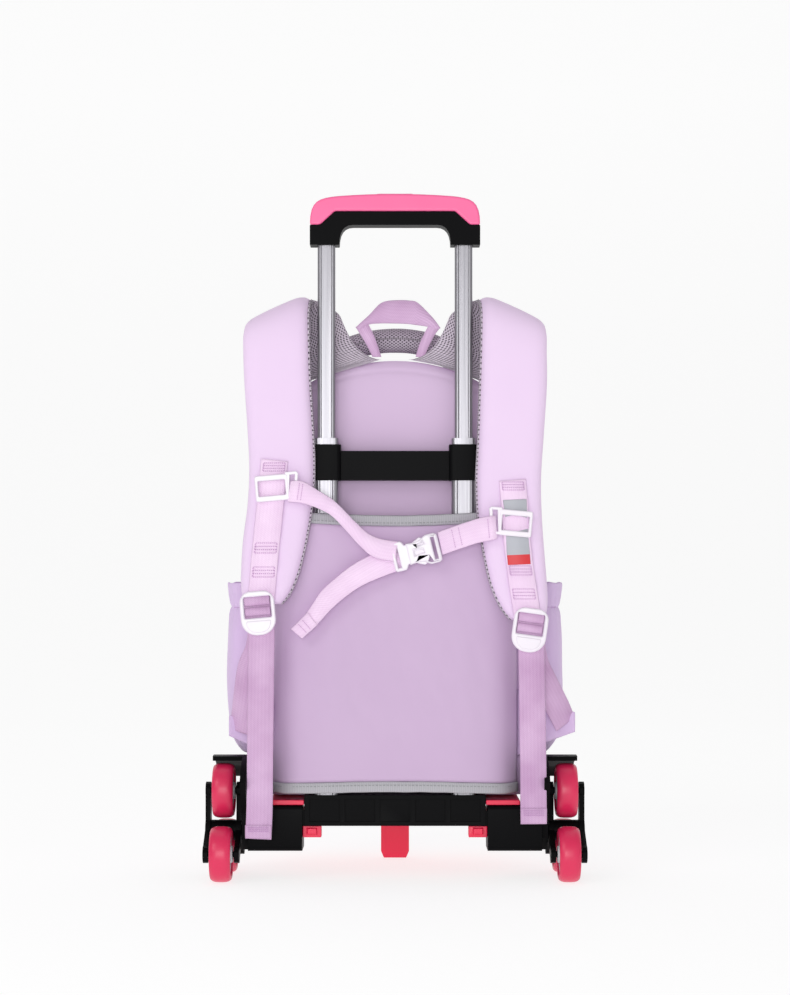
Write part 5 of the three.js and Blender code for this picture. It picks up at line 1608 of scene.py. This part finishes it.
# %% Sternum sliders
SLIDERS = {"left": ((272.3, 488), 5.0, 1), "right": ((516.0, 523.3), -5.0, -1)}
SLIDER_DEPTH = -0.0345
for side, (pixel, turn, inwards) in SLIDERS.items():
    centre = spot(*pixel, SLIDER_DEPTH)
    frame_loop = rounded(0.0158, -0.0124, 0.0124, 0.0022, 0.0022, 5)
    window = list(reversed(rounded(0.0128, -0.0072, 0.0072, 0.0008, 0.0008, 3)))
    body = plate("slider_frame", frame_loop, [window], SLIDER_DEPTH, 0.0034, white_plastic,
                 0.0010, turn, centre)
    high, low = 0.0140, -0.0120
    near, far = inwards * 0.0135, inwards * 0.0262
    outer_loop = [(near, high), (far - inwards * 0.002, high), (far, high - 0.002),
                  (far - inwards * 0.0035, low), (near - inwards * 0.001, low)]
    inner_loop = [(near + inwards * 0.0045, high - 0.0030), (far - inwards * 0.0034, high - 0.0030),
                  (far - inwards * 0.0062, low + 0.0028), (near + inwards * 0.0022, low + 0.0028)]
    if inwards < 0:
        outer_loop.reverse()
    else:
        inner_loop = list(reversed(inner_loop))
    slim = plate("slider_loop", outer_loop, [inner_loop], SLIDER_DEPTH, 0.0030, white_plastic,
                 0.0008, turn, centre)
    slider = joined("sternum_slider_moulded_" + side, [body, slim])
    dressed(slider, "root", "white_plastic", "sternum_slider_" + side)
print("sliders", len(SLIDERS))

# %% [markdown]
# The sternum strap crosses from one slider to the other. Its left half goes to the buckle, folds
# back through it and hangs down as a free tail; its right half is sewn fast.

# %% Edges of the sternum webbing
STERNUM_THICKNESS = 0.0013


def pixel_curve(points):
    return [seen(column, row, depth) for column, row, depth in points]


left_top = pixel_curve([(291.5, 481, -0.0350), (296.5, 480.5, -0.0372), (305, 482, -0.0376),
                        (318, 490, -0.0366), (335, 501, -0.0352), (355, 521, -0.0336),
                        (368, 533, -0.0328), (382, 539, -0.0322), (398, 541.5, -0.0316)])
left_low = pixel_curve([(288.5, 502, -0.0350), (293.5, 502, -0.0372), (302, 503, -0.0376),
                        (316, 507.5, -0.0366), (331, 515, -0.0352), (346, 530, -0.0336),
                        (358, 543.5, -0.0328), (374, 557, -0.0322), (396, 561.5, -0.0316)])
tail_top = pixel_curve([(400, 545, -0.0268), (385, 549, -0.0270), (365, 558, -0.0274),
                        (350, 567, -0.0276), (335, 579, -0.0280), (322, 591, -0.0282),
                        (313.5, 603.5, -0.0280), (304.5, 616, -0.0276), (291.5, 629, -0.0270)])
tail_low = pixel_curve([(404, 569, -0.0268), (394, 572.5, -0.0270), (377, 579, -0.0274),
                        (362, 586, -0.0276), (347, 596, -0.0280), (334, 607, -0.0282),
                        (325, 616.5, -0.0280), (314.5, 628, -0.0276), (302.5, 638.5, -0.0270)])
right_top = pixel_curve([(438, 532, -0.0300), (455, 526, -0.0314), (470, 521, -0.0334),
                         (482, 517.5, -0.0356), (491, 516, -0.0372), (495.8, 515.4, -0.0350)])
right_low = pixel_curve([(443, 555, -0.0300), (460, 549, -0.0314), (475, 544, -0.0334),
                         (485, 541.5, -0.0356), (493, 540, -0.0372), (497.4, 538.6, -0.0350)])
incoming = band_between("sternum_left", left_top, left_low, 60, STERNUM_THICKNESS, 0.0005, 1.0)
sternum_tail = band_between("sternum_tail", tail_top, tail_low, 60, STERNUM_THICKNESS, 0.0006, 4.0)
outgoing = band_between("sternum_right", right_top, right_low, 40, STERNUM_THICKNESS, 0.0003, 2.0)
print("sternum tail", round(line_length(tail_top), 3), "m")

# %% [markdown]
# Each end of the sternum webbing is turned back round its slider and sewn with two rows of
# thread. The free tail ends in a folded hem with two rows of its own.

# %% Sternum webbing


def hem_threads(name, first, second, share_pair, lift):
    """Threads across a band between two edges, at the given shares of its length."""
    made = []
    for k, share in enumerate(share_pair):
        a, b = curve_at(first, share), curve_at(second, share)
        made.append(stitches(f"{name}_{k}", a.lerp(b, 0.1) + lift, a.lerp(b, 0.9) + lift, 9,
                             (0, -1, 0), 0.0009))
    return made


forward = Vector((0, -0.0009, 0))
tip_a = [tail_top[-1].lerp(tail_top[-2], share) for share in (0.0, 1.3)]
tip_b = [tail_low[-1].lerp(tail_low[-2], share) for share in (0.0, 1.3)]
tail_fold = band_between("sternum_hem", [p + Vector((0, -0.0013, 0)) for p in tip_a],
                         [p + Vector((0, -0.0013, 0)) for p in tip_b], 8, 0.0011)
left_parts = [painted(item, pale_webbing) for item in (incoming, sternum_tail, tail_fold)]
left_parts += hem_threads("left_sewing", left_top, left_low, (0.19, 0.235), forward)
left_parts += hem_threads("tail_sewing", tail_top, tail_low, (0.90, 0.935), forward * 2.6)
dressed(joined("sternum_left_sewn", left_parts), "root", "webbing", "sternum_webbing_left")
right_parts = [painted(outgoing, pale_webbing)]
right_parts += hem_threads("right_sewing", right_top, right_low, (0.16, 0.24, 0.72), forward)
dressed(joined("sternum_right_sewn", right_parts), "root", "webbing", "sternum_webbing_right")
print("sternum parts", len(left_parts) + len(right_parts))

# %% [markdown]
# The buckle closes from both sides: two prongs spring out through its flanks, and its face has
# openings through which the webbing shows.

# %% Side-release buckle
BUCKLE_PIXEL, BUCKLE_TURN, BUCKLE_DEPTH = (416.5, 552.5), 14.0, -0.0290
buckle_centre = spot(*BUCKLE_PIXEL, BUCKLE_DEPTH)


def local(points):
    """Outline points given in millimetres."""
    return [(x / 1000, z / 1000) for x, z in points]


male_outline = local([(-23, -12), (-21.5, -14), (-12.5, -14), (-11, -12.4), (-9.5, -9.6),
                      (-4, -8.6), (-4, 8.6), (-9.5, 9.6), (-11, 12.4), (-12.5, 14), (-21.5, 14),
                      (-23, 12)])
male_slot = list(reversed(local([(-19.8, -10.6), (-16.6, -10.6), (-16.6, 10.6), (-19.8, 10.6)])))
male = plate("buckle_tongue", male_outline, [male_slot], BUCKLE_DEPTH, 0.0066, white_plastic,
             0.0012, BUCKLE_TURN, buckle_centre)
female_outline = local([(-8, -10.4), (-3, -9.9), (2, -9.5), (6, -10.6), (9.5, -13.0), (12, -14.2),
                        (20, -14.2), (22.6, -12.6), (23, -10), (23, 10), (22.6, 12.6), (20, 14.2),
                        (12, 14.2), (9.5, 13.0), (6, 10.6), (2, 9.5), (-3, 9.9), (-8, 10.4)])
female_slots = [list(reversed(local(rect))) for rect in (
    [(16.4, -10.6), (19.6, -10.6), (19.6, 10.6), (16.4, 10.6)],
    [(-1.5, -2.6), (7.5, -1.6), (7.5, 1.6), (-1.5, 2.6)],
    [(1.0, -7.4), (8.6, -8.6), (9.6, -6.4), (2.4, -5.4)],
    [(2.4, 5.4), (9.6, 6.4), (8.6, 8.6), (1.0, 7.4)])]
female = plate("buckle_body", female_outline, female_slots, BUCKLE_DEPTH, 0.0090, white_plastic,
               0.0016, BUCKLE_TURN, buckle_centre)
core = plate("buckle_core", local([(-6, -8.6), (12, -8.6), (12, 8.6), (-6, 8.6)]), [],
             BUCKLE_DEPTH + 0.0004, 0.0040, white_plastic, 0.0006, BUCKLE_TURN, buckle_centre)
prongs = [plate(f"prong_{k}", local([(-5, k * 8.2), (0, k * 10.8), (5.6, k * 13.4), (8.2, k * 12.4),
                                     (8.2, k * 9.0), (-5, k * 7.0)][::k]), [], BUCKLE_DEPTH, 0.0044,
                white_plastic, 0.0009, BUCKLE_TURN, buckle_centre) for k in (-1, 1)]
dressed(joined("buckle_tongue_moulded", [male] + prongs), "root", "white_plastic", "buckle_male")
dressed(joined("buckle_body_moulded", [female, core]), "root", "white_plastic", "buckle_female")
print("buckle prongs", len(prongs))

# %% [markdown]
# The loop on top is one piece of webbing: a broad front face whose ends fold down and inwards to
# the seam. Behind it stands the padded grab handle, a roll of spacer mesh.

# %% Webbing loop
LOOP_DEPTH = 0.0125


def loop_curve(points, back=0.0):
    return [seen(column, row, LOOP_DEPTH + back * i) for i, (column, row) in enumerate(points)]


face_top = loop_curve([(356, 327.5), (363, 321), (370, 314.5), (380, 304), (388, 300.8), (400, 300),
                       (410, 300.5), (418, 302.5), (430, 314), (436, 321), (441, 328)])
face_low = loop_curve([(361, 329.5), (366, 326), (372, 324), (382, 323.4), (390, 323.4),
                       (400, 323.6), (408, 324), (416, 325), (426, 326.4), (433, 327.6),
                       (438, 330)])
loop_face = band_between("loop_face", face_top, face_low, 60, 0.0018, 0.0009, 6.0)
LEG_SLOPE, LEG_STEPS, LEG_THICKNESS, LEG_RIPPLE = 0.0010, 20, 0.0016, 0.0004
left_outer = loop_curve([(356, 327), (361, 335), (367, 345), (373, 357)], LEG_SLOPE)
left_inner = loop_curve([(369, 324.5), (373, 332), (377, 342), (382, 357)], LEG_SLOPE)
left_leg = band_between("loop_left_leg", left_outer, left_inner, LEG_STEPS, LEG_THICKNESS,
                        LEG_RIPPLE, 3.0)
right_outer = loop_curve([(441, 327.5), (436, 334), (430, 345), (425, 357)], LEG_SLOPE)
right_inner = loop_curve([(429, 325.5), (425, 333), (420, 344), (416, 357)], LEG_SLOPE)
right_leg = band_between("loop_right_leg", right_outer, right_inner, LEG_STEPS, LEG_THICKNESS,
                         LEG_RIPPLE, 8.0)
loop = joined("webbing_loop_folded", [painted(item, webbing) for item in
                                      (loop_face, left_leg, right_leg)])
dressed(loop, "root", "webbing", "webbing_loop")
print("loop parts", 3)

# %% [markdown]
# The grab handle is a soft roll that arches over the back panel's top. Its rings stand square to
# the arch, a little thinner at the sewn ends, and slow noise keeps the roll from looking machined.

# %% Padded grab handle
GRAB_DEPTH, GRAB_RADIUS = 0.0395, 0.0118
GRAB_STEPS, GRAB_POINTS = 80, 36
grab_path = even_curve([at(x, GRAB_DEPTH, z) for x, z in (
    (-0.0585, 0.4995), (-0.052, 0.5085), (-0.040, 0.5165), (-0.022, 0.5215), (0, 0.5232),
    (0.022, 0.5215), (0.040, 0.5165), (0.052, 0.5085), (0.0585, 0.4995))], GRAB_STEPS)
grab_rings = []
for i, place in enumerate(grab_path):
    along = (grab_path[min(i + 1, GRAB_STEPS)] - grab_path[max(i - 1, 0)]).normalized()
    up = along.cross(Vector((0, 1, 0))).normalized() * -1
    share = abs(2 * i / GRAB_STEPS - 1)
    radius = GRAB_RADIUS * (1 - 0.18 * max(0.0, (share - 0.75) / 0.25) ** 2)
    ring = []
    for k in range(GRAB_POINTS):
        angle = 2 * math.pi * k / GRAB_POINTS
        soft = 1 + 0.03 * wander((place.x, math.cos(angle) * 0.02, math.sin(angle) * 0.02), 60, 3.0)
        ring.append(place + radius * soft * (math.sin(angle) * up
                                             + math.cos(angle) * Vector((0, -0.92, 0))))
    grab_rings.append(ring)
grab = painted(skin("grab_handle_padded", grab_rings, closed=True, capped=True), handle_mesh)
dressed(point_outwards(grab), "root", "spacer_mesh", "grab_handle")
print("grab handle of", round(line_length(grab_path), 3), "m")

# %% [markdown]
# A side pocket is a pouch with an elastic hem. The elastic gathers the cloth into short pleats
# that fade towards the middle of the pocket, and again a little at its foot.

# %% Side pockets
# Each row gives the height, the bulge and the depth, as shares of the pocket's own; the last
# three rows turn down inside the pocket.
POCKET_RINGS = [(-0.02, 0.05, 0.80), (0, 0.45, 0.86), (0.12, 0.86, 0.96), (0.4, 1, 1),
                (0.66, 0.98, 1), (0.80, 0.90, 0.98), (0.86, 0.82, 0.965), (0.93, 0.90, 0.98),
                (1, 0.96, 0.99), (0.985, 0.88, 0.96), (0.9, 0.78, 0.94), (0.7, 0.86, 0.95)]
RIM_ROW, HEM_ROW, LAST_ROW = 8, 6, 11
POCKET_FLOOR, POCKET_HEIGHT = BAG_BOTTOM + 0.044, 0.163
POCKET_BULGE, POCKET_DEPTH = 0.026, 0.096
POCKET_MIDDLE = BAG_BACK + 0.016 + POCKET_DEPTH / 2
POCKET_ARC, POCKET_ROWS = 64, 90
HEM = 0.86
PLEAT_DEPTH, PLEAT_TURN, SOFT_DEPTH = 0.0011, 1.15, 0.0026

for side in ("left", "right"):
    sign = SIGNS[side]
    rows = []
    for j in range(POCKET_ROWS + 1):
        up, out, deep = curve_at([Vector(row) for row in POCKET_RINGS], j / POCKET_ROWS)
        rising = j / POCKET_ROWS < RIM_ROW / LAST_ROW
        half = POCKET_DEPTH / 2 * deep
        gather = math.exp(-((up - HEM) / 0.10) ** 2) + 0.5 * math.exp(-((up - 0.02) / 0.08) ** 2)
        hem_groove = 0.0014 * math.exp(-((up - HEM) / 0.010) ** 2)
        row = []
        for i in range(POCKET_ARC + 1):
            angle = math.pi * i / POCKET_ARC
            free = math.sin(angle) ** 0.5
            shift = 1.4 * wander((i * 0.2, up * 3, 0), 1.0, sign)
            pleat = PLEAT_DEPTH * math.sin(i * PLEAT_TURN + shift) * gather
            slack = math.sin(math.pi * min(max(up, 0), 1)) if rising else 0.0
            soft = SOFT_DEPTH * wander((i * 0.06, up * 2.2, sign), 1.0, 5.0) * slack
            reach = POCKET_BULGE * out * math.sin(angle) ** 0.6
            x = BAG_HALF_WIDTH + 0.0008 + reach + (pleat + soft - hem_groove) * free
            row.append(at(sign * x, POCKET_MIDDLE - half * math.cos(angle),
                          POCKET_FLOOR + up * POCKET_HEIGHT
                          + 0.0016 * free * wander((i * 0.12, 0, 0), 1.0, 2.0 + sign)))
        rows.append(row)
    pouch = painted(skin("pocket_gathered_" + side, rows, flip=sign > 0), pocket_cloth)
    thicker(pouch, 0.0012, 0.0)
    threads = []
    seam_row = rows[round(POCKET_ROWS * HEM_ROW / LAST_ROW)]
    for i in range(4, POCKET_ARC - 4, 4):
        a, b = seam_row[i], seam_row[i + 4]
        out_way = Vector((sign, 0, 0)) * math.sin(math.pi * i / POCKET_ARC) + Vector(
            (0, -math.cos(math.pi * i / POCKET_ARC), 0))
        threads.append(stitches(f"pocket_thread_{side}_{i}", a + out_way * 0.0009,
                                b + out_way * 0.0009, 3, out_way, 0.0009))
    pocket = joined("pocket_sewn_" + side, [pouch] + threads)
    dressed(pocket, "root", "lilac_fabric", "pocket_" + side)
    pocket_cut = (max(line_length(row) for row in rows),
                  line_length([row[POCKET_ARC // 2] for row in rows]))
    min(surface_area(rows), pocket_cut[0] * pocket_cut[1])
print("pocket cut", [round(size, 3) for size in pocket_cut])

# %% [markdown]
# Wheels are turned, so they are drawn as profiles spun round their pins: a pink tyre with rounded
# shoulders, and a grey rim with a dished web and a raised boss.

# %% Turned parts
WHEEL_RADIUS, TYRE_THICKNESS, WHEEL_HALF = 0.0265, 0.006, 0.011
BOSS_RADIUS, PIN_RADIUS = 0.008, 0.0033


def turned(name, profile, centre, finish, segments=72):
    """profile lists (radius, along X) from the inside out and back, as a closed loop."""
    rings = []
    for k in range(segments + 1):
        angle = 2 * math.pi * k / segments
        rings.append([centre + Vector((along, radius * math.cos(angle), radius * math.sin(angle)))
                      for radius, along in profile])
    item = skin(name, rings, closed=True)
    shape = bmesh.new()
    shape.from_mesh(item.data)
    bmesh.ops.remove_doubles(shape, verts=shape.verts, dist=1e-7)
    bmesh.ops.recalc_face_normals(shape, faces=shape.faces)
    shape.to_mesh(item.data)
    shape.free()
    item.data.set_sharp_from_angle(angle=math.radians(38))
    return painted(item, finish)


print("wheels are", round(WHEEL_RADIUS * 2000), "by", round(WHEEL_HALF * 2000), "mm")

# %% [markdown]
# A rim has a boss round the pin, a thin web and a bed for the tyre; the tyre is softer, with
# rounded shoulders. Each carrier has three such wheels, and each wheel turns on its own pin.

# %% Wheels
rim_radius = WHEEL_RADIUS - TYRE_THICKNESS
# Half of each profile, as radius and share of the half width; the other half mirrors it.
RIM_HALF = [(PIN_RADIUS, 1.0), (0.0072, 1.0), (BOSS_RADIUS, 0.94), (BOSS_RADIUS + 0.0004, 0.60),
            (0.0105, 0.42), (0.0150, 0.40), (0.0178, 0.50), (rim_radius - 0.0006, 0.74),
            (rim_radius, 0.70)]
TYRE_HALF = [(rim_radius + 0.0003, 0.80), (rim_radius + 0.0010, 0.88), (rim_radius + 0.0026, 0.93),
             (WHEEL_RADIUS - 0.0022, 0.86), (WHEEL_RADIUS - 0.0009, 0.70),
             (WHEEL_RADIUS - 0.0002, 0.46), (WHEEL_RADIUS, 0.2)]


def whole_profile(half):
    return [(radius, -share * WHEEL_HALF) for radius, share in half] + [
        (radius, share * WHEEL_HALF) for radius, share in reversed(half)]


for side in ("left", "right"):
    for number in "123":
        node = f"{side}_{number}"
        centre = middle("wheel_" + node)
        rim = turned("rim_turned_" + node, whole_profile(RIM_HALF), centre, hub_plastic)
        tyre = turned("tyre_turned_" + node, whole_profile(TYRE_HALF), centre, tyre_rubber)
        rounder(tyre, 0.0004, 2, 30)
        dressed(rim, "wheel_set_" + node, "hub_plastic", "wheel_" + node)
        dressed(tyre, "wheel_set_" + node, "tyre_rubber", "tyre_" + node)
print("wheels turned", 6)

# %% [markdown]
# The finished bag may not leave the skeleton's box by more than a little.
